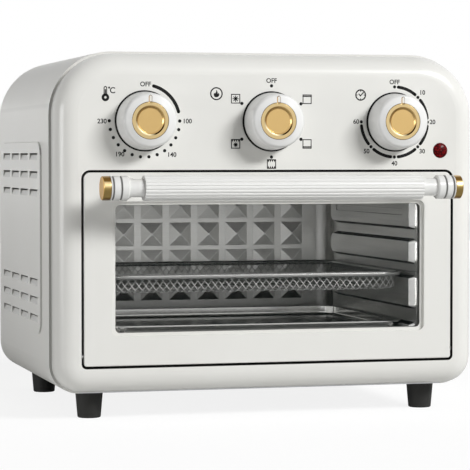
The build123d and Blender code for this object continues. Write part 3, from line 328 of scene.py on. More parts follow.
def moulded_cream(name, light, dark, roughness, coat, painted_shade_share=None, cone=None):
    """Warm white moulding with a faint orange peel under a thin gloss, which drifts a little in colour.

    Painted shade comes as a share of deep, dull shadow colour, and a cone as the height of a turned face.
    """
    finish = Finish(name)
    cloud = finish.noise(finish.place(), 14.0, 3.0)
    colour = finish.tint(finish.above(cloud, 0.5, 0.2), light, dark)
    sheen = roughness + 0.06 * (finish.noise(finish.place(), 160.0, 2.0) - 0.5)
    if painted_shade_share is not None:
        deep = painted_shade_share(finish)
        # Painted shade: the colour goes to shadow black, rougher and without its coat
        colour = finish.tint(deep, colour, shadow_black)
        sheen = sheen + deep * (1.0 - sheen)
        coat = coat * (1.0 - deep)
    normal = finish.soft_edges(0.35 * MM)
    if cone is not None:
        normal = finish.bump(cone(finish), 1.0, 1.0, normal)
    peel = finish.noise(finish.place(), 1100.0, 1.0)
    normal = finish.bump(peel, 0.012 * MM, 0.5, normal)
    return finish.surface(
        colour, sheen, 0.0, normal, Coat_Weight=coat, Coat_Roughness=0.22, Specular_IOR_Level=0.12
    )


def knob_finish(name):
    """Knob whose front falls away a little from the inlay to its edge, with painted shade on the undercut at
    its foot.
    """

    def cone(finish):
        return -0.42 * from_dial(finish, name)

    return moulded_cream(
        f"{name}_knob_white", (0.84, 0.84, 0.83), (0.83, 0.83, 0.815), 0.32, 0.6, knob_base_painted_shade, cone
    )


def powder_coat(name, light, dark):
    """Powder coat on sheet steel: a fine even grain and a dull sheen, with painted shade on its front-facing
    steps and louvre flaps.
    """
    finish = Finish(name)
    x, y, z = finish.axes()
    across, out, up = finish.facing()
    cloud = finish.noise(finish.place(), 9.0, 2.0)
    grain = finish.noise(finish.place(), 1700.0, 2.0)
    colour = finish.tint(finish.above(cloud, 0.5, 0.2), light, dark)
    side = finish.above(abs(x), side_panel_x, 0.25 * MM)
    edge = finish.below(y, seam_y + 1.05 * MM, 0.15 * MM) * side_share(finish, x)
    # Painted shade on the walls of the side panels and of the wrap's front edge that face the front, and on
    # the louvre flaps, more on the lower rows
    front = finish.below(out, -0.45, 0.15) * finish.most(0.5 * side, 0.55 * edge)
    flap_painted_shade = finish.between(up, 0.15, 0.6, 0.05) * side
    low = finish.below(z, lower_louvres_z, 5.0 * MM)
    colour = finish.tint(front + flap_painted_shade * (0.22 + 0.18 * low), colour, (0.10, 0.10, 0.095))
    sheen = 0.46 + 0.08 * (grain - 0.5)
    normal = finish.bump(grain, 0.02 * MM, 0.6, finish.soft_edges(0.3 * MM))
    return finish.surface(colour, sheen, 0.0, normal, Coat_Weight=0.1, Coat_Roughness=0.3)


def dull_moulding(name, light, dark, roughness, grain_size, **fixed):
    """Matt black plastic, rubber or unglazed ceramic with a fine tooth."""
    finish = Finish(name)
    grain = finish.noise(finish.place(), 1.0 / grain_size, 2.0)
    colour = finish.tint(finish.above(grain, 0.5, 0.15), dark, light)
    normal = finish.bump(grain, 0.03 * MM, 0.5, finish.soft_edges(0.3 * MM))
    return finish.surface(colour, roughness + 0.1 * (grain - 0.5), 0.0, normal, **fixed)


# Brass of the handle's caps and the dials' inlays
brass_deep = (0.16, 0.085, 0.018)
brass_gold = (0.60, 0.41, 0.17)
brass_low = (0.34, 0.24, 0.085)
brass_end = (0.72, 0.43, 0.12)
brass_pale = (0.60, 0.455, 0.23)
brass_shine = (0.25, 0.16, 0.06)
enamel_white = (0.80, 0.79, 0.74)
# Painted reflections: bands of deep and pale gold by how far a cap's side faces up
cap_painted_reflection_bands = [
    (0.0, brass_deep), (0.07, brass_deep), (0.15, brass_low), (0.5, brass_low), (0.6, brass_pale),
    (0.74, brass_pale), (0.80, brass_deep), (0.92, brass_deep), (0.98, brass_gold),
]
# Painted reflections round the rounded edge of a dial's dish, by the angle about its axis
dish_edge_painted_reflections = [
    (0.0, brass_shine), (0.08, (0.85, 0.75, 0.5)), (0.24, (0.9, 0.78, 0.48)), (0.31, (0.02, 0.008, 0.001)),
    (0.43, (0.03, 0.012, 0.002)), (0.50, (0.42, 0.28, 0.11)), (0.70, (0.28, 0.18, 0.07)),
    (0.85, (0.16, 0.10, 0.035)), (1.0, brass_shine),
]


def turned_brass(name, centre, along_x, toned):
    """Satin brass with the fine rings of a lathe about its own axis. Toned gives colour and metal, painted
    reflections included.
    """
    finish = Finish(name)
    x, y, z = finish.axes()
    across = (y if along_x else x) - (centre[1] if along_x else centre[0])
    up = z - centre[2]
    radius = (across * across + up * up) ** 0.5
    rings = finish.noise(finish.joined(radius * 5200.0, 0.0, 0.0), 1.0, 2.0)
    colour, metal = toned(finish, across, up, radius)
    sheen = 0.24 + 0.12 * rings
    normal = finish.bump(rings, 0.006 * MM, 0.5, finish.soft_edges(0.25 * MM))
    return finish.surface(colour, sheen, metal, normal)


def cap_reflection_tone(finish, across, up, radius):
    """Painted reflections as bands of deep and pale gold round a cap's side, and plain gold on its end."""
    sideways, out, upward = finish.facing()
    side = finish.node("ValToRGB", {"stops": cap_painted_reflection_bands}, {0: 0.5 * upward + 0.5})
    return finish.tint(finish.above(abs(sideways), 0.7, 0.1), side, brass_end), 1.0


def inlay_tone(finish, across, up, radius):
    """Deep outline and painted reflections on the dish edge round pale gold, and a white enamelled pointer.
    """
    gold = finish.tint(finish.below(radius, 11.4 * MM, 0.2 * MM), brass_pale, brass_gold)
    turn = finish.node("Math", {"operation": "ARCTAN2"}, {0: up, 1: across}) / TURN + 0.5
    dish_edge = finish.between(radius, dish_edge_inner, dish_edge_outer, 0.12 * MM)
    # Painted reflections on the dish edge
    gold = finish.tint(dish_edge, gold, finish.node("ValToRGB", {"stops": dish_edge_painted_reflections}, {0: turn}))
    gold = finish.tint(finish.above(radius, inlay_edge, 0.15 * MM), gold, brass_deep)
    over = finish.most(up - pointer_end, 0.0)
    reach = (across * across + over * over) ** 0.5
    enamel = finish.below(reach, pointer_half_width, 0.1 * MM) * finish.above(up, pointer_start, 0.1 * MM)
    return finish.tint(enamel, gold, enamel_white), 1.0 - enamel


# Sheet steel and wire: each shade gives four shares, as brushed_steel takes them
def brushed_steel(name, stretch, light, dark, rough, relief=0.006 * MM, shaded=None, vary=1.0, edge=0.0):
    """Rolled sheet whose grain is drawn out along one axis.

    Shaded gives four shares: painted shade, painted highlight in a pale colour, less metal, and turned to the
    front.
    """
    finish = Finish(name)
    grain = finish.noise(finish.stretched(*stretch), 1.0, 3.0, 0.6)
    haze = finish.noise(finish.place(), 24.0, 3.0)
    colour = finish.tint(finish.above(grain, 0.5, 0.2), dark, light)
    metal = 1.0
    normal = finish.soft_edges(edge) if edge else finish.node("NewGeometry", output="Normal")
    if shaded is not None:
        deep, pale, dull, turned = shaded(finish)
        normal = finish.turned_front(normal, turned * finish.below(finish.facing()[1], 0.35, 0.15))
        # Painted shade, then painted highlight
        colour = finish.tint(deep, colour, (0.015, 0.015, 0.015))
        colour = finish.tint(pale, colour, (0.92, 0.92, 0.90))
        metal = 1.0 - dull
    sheen = rough + vary * 0.10 * (grain - 0.5) + vary * 0.08 * (haze - 0.5)
    return finish.surface(colour, sheen, metal, finish.bump(grain, relief, 0.6, normal))


def frame_gap_painted_shade(finish):
    """Painted shade, near black, on the rim of the front frame that lies behind the gap round the door."""
    x, y, z = finish.axes()
    return finish.above(past_door(finish, x, z), -2.2 * MM, 0.2 * MM), 0.0, 0.0, 0.0


def pyramid_shade(finish):
    """Painted highlights along the crests, whose normals also turn to the front, and painted shade over all
    of the wall below the basket and towards its corner.
    """
    x, y, z = finish.axes()
    sloped = finish.above(abs(finish.facing()[2]), 0.16, 0.04)
    low = finish.below(z, basket_shadow_z, 7.0 * MM)
    corner = finish.above(x, 98.5 * MM, 13.5 * MM)
    u = finish.repeated(x / pyramid_pitch_x + 0.5)
    v = finish.repeated((z - first_pyramid_z) / pyramid_pitch_z)
    u = abs(u) * (pyramid_pitch_x / pyramid_half_x)
    v = abs(v) * (pyramid_pitch_z / pyramid_half_z)
    crest = finish.below(abs(u - v), 0.035, 0.025) * finish.below(u, 0.96, 0.03) * (1.0 - low)
    crest = crest * finish.below(abs(x), pyramids_half_x, 0.5 * MM)
    deep = 1.0 - (1.0 - 0.45 * low) * (1.0 - 0.22 * corner)
    return deep, 0.5 * crest, 0.0, finish.most(0.8 * crest, 0.38 * sloped * (1.0 - low))


def pad_shade(finish):
    """Painted shade over the walls, darkest on the slopes above and below the shelf pads and lightest towards
    the back, with streaks, and painted highlight on the ends that face the front.
    """
    x, y, z = finish.axes()
    across, out, up = finish.facing()
    sloped = finish.above(abs(up), 0.45, 0.15)
    front = finish.below(out, -0.45, 0.15)
    streak = finish.above(finish.noise(finish.stretched(260.0, 9.0, 260.0), 1.0, 2.0), 0.5, 0.2)
    back = finish.above(y, pad_back_y, 20.0 * MM)
    plain = (1.0 - 0.9 * sloped) * (0.76 + 0.14 * streak + 0.10 * back)
    low = finish.below(z, pad_shadow_z, 16.0 * MM)
    return (1.0 - plain) * (1.0 - front), front, 0.1 * front, (0.03 + 0.17 * low) * (1.0 - front)


def tray_shade(finish):
    """Painted light on the outside of the front wall, painted glints on the top of the back wall and its
    corners, and painted shade on the floor.
    """
    x, y, z = finish.axes()
    across, out, up = finish.facing()
    front = finish.below(out, -0.65, 0.15)
    near = finish.below(y, tray_front_y + 7.0 * MM, 1.0 * MM)
    back_wall = front * (1.0 - near)
    crown = back_wall * finish.above(z, tray_top_z - 3.5 * MM, 2.5 * MM)
    bend = finish.between(out, -0.85, -0.25, 0.1) * finish.below(abs(up), 0.4, 0.1)
    bend = bend * finish.above(y, tray_back_y, 5.0 * MM)
    floor = finish.above(up, 0.94, 0.04)
    foot = finish.between(up, 0.35, 0.9, 0.1) * finish.above(y, tray_back_y + 1.0 * MM, 1.0 * MM)
    pale = finish.most(0.3 * front + 0.6 * front * near, finish.most(bend, 0.6 * crown))
    wall = finish.most(bend, back_wall * (0.42 + 0.14 * crown))
    return 0.45 * floor, pale, 0.6 * front * near, finish.most(wall, finish.most(0.062 * floor, 0.3 * foot))


def plated(name, colour, rough, metal=1.0, painted_band=False):
    """Bright plating with faint handling marks. For a rod, the last argument paints it grey and less metallic
    away from a band on its upper side: painted shade, leaving a painted highlight along that band.
    """
    finish = Finish(name)
    marks = finish.noise(finish.place(), 300.0, 3.0)
    darker = tuple(0.88 * part for part in colour)
    tone = finish.tint(marks, darker, colour)
    if painted_band:
        # Painted shade away from the band, which is left as a painted highlight
        lit = finish.between(finish.facing()[2], 0.35, 0.8, 0.1)
        tone = finish.tint(lit, (0.45, 0.45, 0.44), tone)
        metal = 0.15 + (metal - 0.15) * lit
    sheen = rough + 0.10 * (marks - 0.5)
    return finish.surface(tone, sheen, metal, finish.soft_edges(0.15 * MM))


def woven_wire():
    """Fine wire, painted bright and less metallic at the front wall of the basket where the light falls,
    greyer further back and down at its floor.
    """
    finish = Finish("basket_wire_chrome")
    x, y, z = finish.axes()
    near = finish.below(y, mesh_low.y + 6.5 * MM, 1.5 * MM)
    lit = near * finish.above(z, mesh_low.z + 2.5 * MM, 1.0 * MM)
    tone = finish.tint(lit, (0.60, 0.60, 0.59), (0.95, 0.95, 0.93))
    return finish.surface(tone, 0.35, 0.55 - 0.50 * lit)


def heated_steel():
    """Heating rod, darkened and slightly blued by heat."""
    finish = Finish("heated_rod_steel")
    bands = finish.noise(finish.stretched(60.0, 200.0, 200.0), 1.0, 3.0)
    colour = finish.tint(bands, (0.10, 0.09, 0.085), (0.20, 0.17, 0.15))
    return finish.surface(colour, 0.42 + 0.15 * bands, 0.9, finish.bump(bands, 0.02 * MM, 0.4))


# Glass, lens and floor
def window_glass():
    """Clear tempered glass."""
    finish = Finish("clear_window_glass")
    smear = finish.noise(finish.stretched(30.0, 1.0, 8.0), 1.0, 3.0)
    return finish.surface((0.02, 0.03, 0.028, 1), 0.03 + 0.04 * smear, 0.0, None, Alpha=0.06)


def lamp_lens():
    """Deep red lens with a prismatic back that glints through it."""
    finish = Finish("red_lamp_lens")
    cells = finish.node("TexVoronoi", None, {"Vector": finish.place(), "Scale": 620.0})
    colour = finish.tint(finish.above(cells, 0.375, 0.225), (0.24, 0.003, 0.006), (0.05, 0.001, 0.002))
    normal = finish.bump(cells, 0.04 * MM, 0.3)
    return finish.surface(
        colour, 0.3, 0.0, normal, Specular_IOR_Level=0.05, Coat_Weight=0.08, Coat_Roughness=0.05
    )


def floor_finish():
    """White floor that still shows the shadow of what stands on it."""
    finish = Finish("studio_floor")
    seen = finish.node("LightPath", output="Is Camera Ray")
    plain = finish.node("BsdfDiffuse", None, {0: (0.85, 0.85, 0.845, 1)})
    lit = finish.node("BsdfDiffuse", None, {0: (0.20, 0.20, 0.20, 1)})
    glow = finish.node("Emission", None, {0: (1, 1, 1, 1), 1: 0.85})
    shown = finish.node("AddShader", None, {0: lit, 1: glow})
    return finish.close(finish.node("MixShader", None, {0: seen, 1: plain, 2: shown}))


# The finishes and the nodes that wear them
cream = (0.80, 0.797, 0.765), (0.785, 0.78, 0.745)
white = (0.82, 0.82, 0.80), (0.81, 0.81, 0.79)
fascia_cream = moulded_cream("fascia_cream", *cream, 0.36, 0.6, fascia_painted_shade)
door_cream = moulded_cream("door_cream", *cream, 0.36, 0.6)
grip_white = moulded_cream("grip_white", *white, 0.26, 0.75, grip_end_painted_shade)
collar_white = moulded_cream("collar_white", *white, 0.26, 0.75, collar_groove_painted_shade)
housing_paint = powder_coat("housing_paint", *cream)
side_steel = brushed_steel(
    "side_wall_steel", (2500.0, 60.0, 2500.0), (0.88, 0.88, 0.86), (0.86, 0.86, 0.84), 0.27,
    0.0005 * MM, pad_shade, vary=0.1, edge=0.7 * MM
)
back_steel = brushed_steel(
    "back_wall_steel", (12.0, 900.0, 900.0), (0.90, 0.90, 0.87), (0.85, 0.85, 0.82), 0.33,
    0.002 * MM, pyramid_shade, vary=0.4, edge=0.12 * MM
)
plate_steel = brushed_steel(
    "cover_plate_steel", (900.0, 12.0, 900.0), (0.36, 0.36, 0.35), (0.28, 0.28, 0.275), 0.28
)
frame_steel = brushed_steel(
    "front_frame_steel", (12.0, 900.0, 900.0), (0.50, 0.50, 0.49), (0.42, 0.42, 0.41), 0.32,
    shaded=frame_gap_painted_shade
)
tray_steel = brushed_steel(
    "tray_steel", (10.0, 500.0, 500.0), (0.56, 0.56, 0.54), (0.48, 0.48, 0.46), 0.14,
    0.003 * MM, tray_shade
)
inner_zinc = brushed_steel("zinc_sheet", (60.0, 60.0, 60.0), (0.66, 0.67, 0.68), (0.56, 0.57, 0.59), 0.42)
fan_sheet = brushed_steel("fan_aluminium", (80.0, 80.0, 80.0), (0.78, 0.78, 0.79), (0.70, 0.70, 0.71), 0.35)
rod_steel = heated_steel()
rim_chrome = plated("basket_rim_chrome", (0.86, 0.86, 0.84), 0.22, 0.9, True)
wire_chrome = woven_wire()
screw_plate = plated("screw_plating", (0.70, 0.70, 0.69), 0.28)
motor_paint = dull_moulding("motor_lacquer", (0.16, 0.16, 0.17), (0.10, 0.10, 0.11), 0.5, 0.5 * MM)
foot_rubber = dull_moulding(
    "foot_rubber", (0.024, 0.024, 0.022), (0.014, 0.014, 0.013), 0.62, 0.4 * MM, Specular_IOR_Level=0.3
)
black_moulding = dull_moulding("black_moulding", (0.045, 0.045, 0.045), (0.03, 0.03, 0.03), 0.45, 0.5 * MM)
bush_ceramic = dull_moulding("bush_ceramic", (0.86, 0.85, 0.81), (0.78, 0.77, 0.73), 0.6, 0.5 * MM)
print_black = dull_moulding(
    "dial_print", (0.02, 0.02, 0.02), (0.016, 0.016, 0.016), 0.7, 0.3 * MM, Specular_IOR_Level=0.08
)

finishes = {
    "front_fascia": fascia_cream,
    "housing_wrap": housing_paint,
    "back_panel": housing_paint,
    "base_plate": inner_zinc,
    "cord_gland": black_moulding,
    "back_panel_screws": screw_plate,
    "foot_screws": screw_plate,
    "foot_nuts": screw_plate,
    "oven_front_frame": frame_steel,
    "cavity_left_wall": side_steel,
    "cavity_right_wall": side_steel,
    "cavity_back_wall": back_steel,
    "cavity_ceiling": plate_steel,
    "cavity_floor": plate_steel,
    "heater_ceramics": bush_ceramic,
    "fan_drum": inner_zinc,
    "fan_impeller": fan_sheet,
    "fan_shaft": screw_plate,
    "motor_bracket": inner_zinc,
    "fan_motor": motor_paint,
    "thermostat": black_moulding,
    "function_switch": black_moulding,
    "timer_clockwork": black_moulding,
    "lamp_lens": lamp_lens(),
    "lamp_holder": black_moulding,
    "door_frame": door_cream,
    "door_glass": window_glass(),
    "glass_clamp": frame_steel,
    "clamp_screws": screw_plate,
    "handle_grip": grip_white,
    "handle_screws": screw_plate,
    "basket_rim": rim_chrome,
    "baking_tray": tray_steel,
}
for end in ("front", "back"):
    for row in ("lower", "upper"):
        finishes[f"{row}_heater_{end}"] = rod_steel
    for side in ("left", "right"):
        finishes[f"foot_{end}_{side}"] = foot_rubber
for side in ("left", "right"):
    finishes[f"hinge_pin_{side}"] = screw_plate
    finishes[f"hinge_spring_{side}"] = screw_plate
    finishes[f"handle_bracket_{side}"] = collar_white
    finishes[f"handle_cap_{side}"] = turned_brass(f"cap_brass_{side}", grip_centre, True, cap_reflection_tone)
for name in dial_names:
    centre = (dial_x[name], 0.0, dial_z)
    finishes[f"{name}_knob"] = knob_finish(name)
    finishes[f"{name}_inlay"] = turned_brass(f"{name}_inlay_brass", centre, False, inlay_tone)
    finishes[f"{name}_shaft"] = screw_plate

for name, node in nodes.items():
    if name in finishes:
        node.data.materials.clear()
        node.data.materials.append(finishes[name])


def add_piece(name, mesh, material, body):
    """Put a finished mesh into the scene, on its body and with its finish."""
    piece = bpy.data.objects.new(name, mesh)
    bpy.context.scene.collection.objects.link(piece)
    mesh.materials.clear()
    mesh.materials.append(material)
    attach(piece, body)
    return piece


# Print round the dials: flat marks with a real, very small thickness
print_height = 0.04 * MM
mark_radius = 29.8 * MM
dot_radius = 1.4 * MM
arc_width = 2.8 * MM
line_width = 0.75 * MM
bar_width = 1.0 * MM
icon_half = 3.6 * MM
number_size = 5.3 * MM
number_gain = 0.11 * MM
# The black ring round each knob's foot paints its shadow on the fascia
knob_shadow_ring_radius = 24.5 * MM
knob_shadow_ring_width = 1.6 * MM


class Print:
    """Marks round one dial, gathered into one mesh. Places are across and up from the dial's axis."""

    def __init__(self, dial):
        self.dial = dial
        self.mesh = bmesh.new()

    def patch(self, outline):
        """A flat mark with that outline, listed anticlockwise as seen from the front."""
        places = [(dial_x[self.dial] + x, dial_z + z) for x, z in outline]
        front = [self.mesh.verts.new((x, front_y - print_height, z)) for x, z in places]
        back = [self.mesh.verts.new((x, front_y, z)) for x, z in places]
        self.mesh.faces.new(front)
        for i in range(len(places)):
            j = (i + 1) % len(places)
            self.mesh.faces.new((front[i], back[i], back[j], front[j]))

    def dot(self, x, z, radius=dot_radius, steps=20):
        """A round dot."""
        turns = [TURN * i / steps for i in range(steps)]
        self.patch([(x + radius * math.cos(a), z + radius * math.sin(a)) for a in turns])

    def arc(self, x, z, radius, width, start, end, step=3.0):
        """Band on a circle between two clock angles in degrees, with round ends."""
        count = max(2, round((end - start) / step))
        clock = [math.radians(start + (end - start) * i / count) for i in range(count + 1)]
        for first, second in zip(clock, clock[1:]):
            corners = []
            for angle, reach in ((first, 1), (first, -1), (second, -1), (second, 1)):
                r = radius + reach * width / 2
                corners.append((x + r * math.sin(angle), z + r * math.cos(angle)))
            self.patch(corners)
        for angle in (clock[0], clock[-1]):
            self.dot(x + radius * math.sin(angle), z + radius * math.cos(angle), width / 2)

    def ring(self, x, z, radius, width, steps=36):
        """A whole circle with a line of the given width."""
        for i in range(steps):
            first, second = TURN * i / steps, TURN * (i + 1) / steps
            corners = []
            for angle, reach in ((first, -1), (first, 1), (second, 1), (second, -1)):
                r = radius + reach * width / 2
                corners.append((x + r * math.cos(angle), z + r * math.sin(angle)))
            self.patch(corners)

    def line(self, points, width=line_width):
        """A run of straight strokes through the points."""
        for (x0, z0), (x1, z1) in zip(points, points[1:]):
            length = math.hypot(x1 - x0, z1 - z0)
            ux, uz = (x1 - x0) / length * width / 2, (z1 - z0) / length * width / 2
            near_end = [(x0 - ux + uz, z0 - uz - ux), (x1 + ux + uz, z1 + uz - ux)]
            self.patch(near_end + [(x1 + ux - uz, z1 + uz + ux), (x0 - ux - uz, z0 - uz + ux)])

    def text(self, words, x, z, size=number_size):
        """Plain figures or a short word, centred on a place."""
        curve = bpy.data.curves.new("figures", "FONT")
        curve.body = words
        curve.size = size
        curve.align_x = "CENTER"
        curve.align_y = "CENTER"
        curve.extrude = print_height / 2
        curve.offset = number_gain
        holder = bpy.data.objects.new("figures", curve)
        bpy.context.scene.collection.objects.link(holder)
        bpy.context.view_layer.update()
        made = bpy.data.meshes.new_from_object(holder)
        upright = Matrix.Rotation(math.pi / 2, 4, "X")
        place = (dial_x[self.dial] + x, front_y - print_height / 2, dial_z + z)
        made.transform(Matrix.Translation(place) @ upright)
        self.mesh.from_mesh(made)
        bpy.data.objects.remove(holder)

    def square(self, x, z):
        """Outline of an oven, which the function signs share."""
        corners = [(-1, -1), (1, -1), (1, 1), (-1, 1), (-1, -1)]
        self.line([(x + icon_half * u, z + icon_half * v) for u, v in corners])

    def heat(self, x, z, side):
        """Bar along the top or the bottom of a square."""
        bar_z = z + side * (icon_half - 1.1 * MM)
        self.line([(x - icon_half, bar_z), (x + icon_half, bar_z)], bar_width)

    def grill(self, x, z, side, teeth=4):
        """Teeth of a grill element along the top or the bottom of a square."""
        for i in range(teeth):
            middle = x + (2 * i + 1 - teeth) * icon_half / teeth
            half = side * 0.85 * MM
            edge_z = z + side * icon_half
            self.patch([(middle + half, edge_z), (middle - half, edge_z), (middle, edge_z - side * 2.2 * MM)])

    def fan(self, x, z, radius, blades=4):
        """Small fan wheel."""
        for i in range(blades):
            angle = math.pi * i / blades
            ux, uz = radius * math.cos(angle), radius * math.sin(angle)
            self.line([(x - ux, z - uz), (x + ux, z + uz)])
        self.dot(x, z, radius / 2.4, 12)

    def flame(self, x, z, size):
        """Flame in a ring."""
        self.ring(x, z, size, line_width * 1.4)
        body = [(-0.10, -0.62), (0.30, -0.55), (0.52, -0.22), (0.42, 0.12), (0.22, 0.0), (0.20, 0.30),
                (-0.02, 0.66), (-0.04, 0.28), (-0.24, 0.02), (-0.34, 0.16), (-0.48, -0.14), (-0.40, -0.48)]
        self.patch([(x + size * u, z + size * v) for u, v in body])

    def thermometer(self, x, z):
        """Thermometer that stands on its bulb."""
        half_tube, top = 1.1 * MM, z + 7.8 * MM
        self.ring(x, z, 2.1 * MM, 2.2 * MM)
        for side in (-half_tube, half_tube):
            self.line([(x + side, z + 2.6 * MM), (x + side, top)])
        self.arc(x, top, half_tube, line_width, -90.0, 90.0, 30.0)
        self.line([(x, z + 2.4 * MM), (x, z + 6.2 * MM)], bar_width)

    def clock(self, x, z):
        """Clock face with two hands and its quarter marks."""
        self.ring(x, z, 4.3 * MM, 1.1 * MM)
        hands = [(-1.5, 0.7), (-0.2, -0.7), (2.3, 2.0)]
        self.line([(x + u * MM, z + v * MM) for u, v in hands], 0.9 * MM)
        for i in range(4):
            u, v = math.sin(TURN * i / 4), math.cos(TURN * i / 4)
            self.line([(x + r * MM * u, z + r * MM * v) for r in (3.2, 4.0)])

    def close(self):
        """Close the dial's print, with a black ring round the foot of its knob that paints the knob's shadow
        there.
        """
        self.ring(0.0, 0.0, knob_shadow_ring_radius, knob_shadow_ring_width, 72)
        name = f"{self.dial}_print"
        mesh = bpy.data.meshes.new(name)
        self.mesh.to_mesh(mesh)
        self.mesh.free()
        return add_piece(name, mesh, print_black, "housing")


def around(degrees, radius=mark_radius):
    """Place at a clock angle round a dial's axis."""
    angle = math.radians(degrees)
    return radius * math.sin(angle), radius * math.cos(angle)


def temperature_print():
    """Arc, dots and degrees, with a thermometer and the unit beside them."""
    marks = Print("temperature")
    marks.arc(0.0, 0.0, mark_radius, arc_width, 15.0, 75.0)
    dots = 14
    for i in range(dots):
        marks.dot(*around(90.0 + 180.0 * i / (dots - 1)))
    figures = {"OFF": (0.8, 30.2), "100": (36.3, -0.2), "140": (23.0, -28.0), "190": (-21.1, -27.6),
               "230": (-35.9, -0.5)}
    for words, (x, z) in figures.items():
        marks.text(words, x * MM, z * MM)
    marks.thermometer(-33.0 * MM, 19.2 * MM)
    marks.dot(-29.9 * MM, 27.2 * MM, 0.85 * MM)
    marks.text("C", -27.0 * MM, 24.8 * MM, 6.8 * MM)
    marks.close()


def function_print():
    """Six dots with a plain sign for each, and a flame beside them."""
    marks = Print("function")
    for i in range(6):
        marks.dot(*around(60.0 * i))
    marks.text("OFF", 0.0, 34.0 * MM)
    side, up, foot = 31.2 * MM, 18.8 * MM, -35.7 * MM
    for x, z in ((side, up), (side, -up), (0.0, foot), (-side, -up), (-side, up)):
        marks.square(x, z)
    marks.heat(side, up, 1)
    marks.heat(side, -up, -1)
    marks.grill(0.0, foot, 1)
    marks.grill(0.0, foot, -1)
    marks.grill(-side, -up, 1)
    marks.fan(-side, -up - 0.8 * MM, 1.5 * MM)
    marks.fan(-side, up, 2.3 * MM)
    marks.flame(-47.8 * MM, 22.9 * MM, 4.9 * MM)
    marks.close()


def timer_print():
    """Arcs between the dots for every ten minutes, with their numbers and a clock."""
    marks = Print("timer")
    spacing, places = 45.0, 7
    for i in range(places):
        marks.dot(*around(spacing * i))
        if i < places - 1:
            marks.arc(0.0, 0.0, mark_radius, 0.95 * arc_width, spacing * i + 6.5, spacing * i + 38.5)
    marks.text("OFF", 0.0, 33.8 * MM)
    for i in range(1, places):
        away = 34.4 * MM if i in (2, 6) else 35.4 * MM
        marks.text(str(10 * i), *around(spacing * i, away))
    marks.clock(-30.4 * MM, 22.7 * MM)
    marks.close()


temperature_print()
function_print()
timer_print()

# Woven wire of the basket, which stands for the coarse mesh solid
strand_radius = 0.32 * MM
strand_lift = 0.9 * strand_radius
weave_columns, weave_lines, weave_rows = 42, 30, 4
pan_wall = 0.4 * MM
foot_radius = 3.6 * MM
corner_radius = 16.1 * MM
rim_radius = (rim_high.z - rim_low.z) / 2
pan_half_x = 127.6 * MM
pan_half_y = (rim_high.y - rim_low.y) / 2 - rim_radius - (rim_high.x - rim_radius - pan_half_x)
pan_middle_y = (mesh_low.y + mesh_high.y) / 2
pan_floor_z = mesh_low.z + pan_wall
pan_depth = (rim_low.z + rim_high.z) / 2 - pan_floor_z
pitch_x = 2 * pan_half_x / weave_columns
pitch_y = 2 * pan_half_y / weave_lines
foot_length = foot_radius * math.pi / 2
corner_length = corner_radius * math.pi / 2
straight_x = 2 * (pan_half_x - corner_radius)
straight_y = 2 * (pan_half_y - corner_radius)
around_pan = 2 * straight_x + 2 * straight_y + 4 * corner_length
wall_length = pan_depth - foot_radius + foot_length


def strand(mesh, points, sides):
    """A round wire through the points, with its ends closed."""
    rings = []
    side_way = None
    for i, point in enumerate(points):
        before, after = points[max(i - 1, 0)], points[min(i + 1, len(points) - 1)]
        way = (after - before).normalized()
        if side_way is None:
            side_way = way.orthogonal().normalized()
        side_way = (side_way - way * side_way.dot(way)).normalized()
        other = way.cross(side_way)
        ring = []
        for k in range(sides):
            angle = TURN * k / sides
            out = math.cos(angle) * side_way + math.sin(angle) * other
            ring.append(mesh.verts.new(point + strand_radius * out))
        rings.append(ring)
    for first, second in zip(rings, rings[1:]):
        for k in range(sides):
            j = (k + 1) % sides
            mesh.faces.new((first[k], first[j], second[j], second[k]))
    mesh.faces.new(rings[0][::-1])
    mesh.faces.new(rings[-1])


def on_floor(x, y):
    """Whether a crossing lies on the flat floor, inside the bend at its foot."""
    over_x = max(0.0, abs(x) - (pan_half_x - corner_radius))
    over_y = max(0.0, abs(y) - (pan_half_y - corner_radius))
    return math.hypot(over_x, over_y) <= corner_radius - 0.55 * foot_radius


def weave_floor(mesh):
    """Strands of both slants over the floor, up and down by turns at each crossing."""
    cells = weave_columns + weave_lines
    for slant in (1, -1):
        for line in range(-cells, cells + 1):
            run = []
            for step in range(-cells, cells + 1):
                if (step + line) % 2:
                    continue
                x = (line + step) / 2 * pitch_x
                y = slant * (line - step) / 2 * pitch_y
                if on_floor(x, y):
                    over = ((line + step) // 2) % 2 == (0 if slant > 0 else 1)
                    lift = strand_lift if over else -strand_lift
                    run.append(Vector((x, pan_middle_y + y, pan_floor_z + lift)))
            if len(run) > 1:
                strand(mesh, run, 5)


def wall_point(s, t):
    """Place at distance s round the pan and t up its wall, the bend at the foot included."""
    if t < foot_length:
        angle = t / foot_radius
        inset = foot_radius * (1 - math.sin(angle))
        rise = foot_radius * (1 - math.cos(angle))
    else:
        inset = 0.0
        rise = foot_radius + t - foot_length
    s %= around_pan
    spans = 2 * (straight_x, corner_length, straight_y, corner_length)
    span = 0
    while s > spans[span]:
        s -= spans[span]
        span += 1
    side = span // 2
    along_half, out_half = (pan_half_x, pan_half_y) if side % 2 == 0 else (pan_half_y, pan_half_x)
    if span % 2 == 0:
        x, y = -along_half + corner_radius + s, -out_half + inset
    else:
        angle = s / corner_radius
        reach = corner_radius - inset
        x = along_half - corner_radius + reach * math.sin(angle)
        y = -out_half + corner_radius - reach * math.cos(angle)
    place = Matrix.Rotation(math.pi / 2 * side, 2) @ Vector((x, y))
    return Vector((place.x, pan_middle_y + place.y, pan_floor_z + rise))


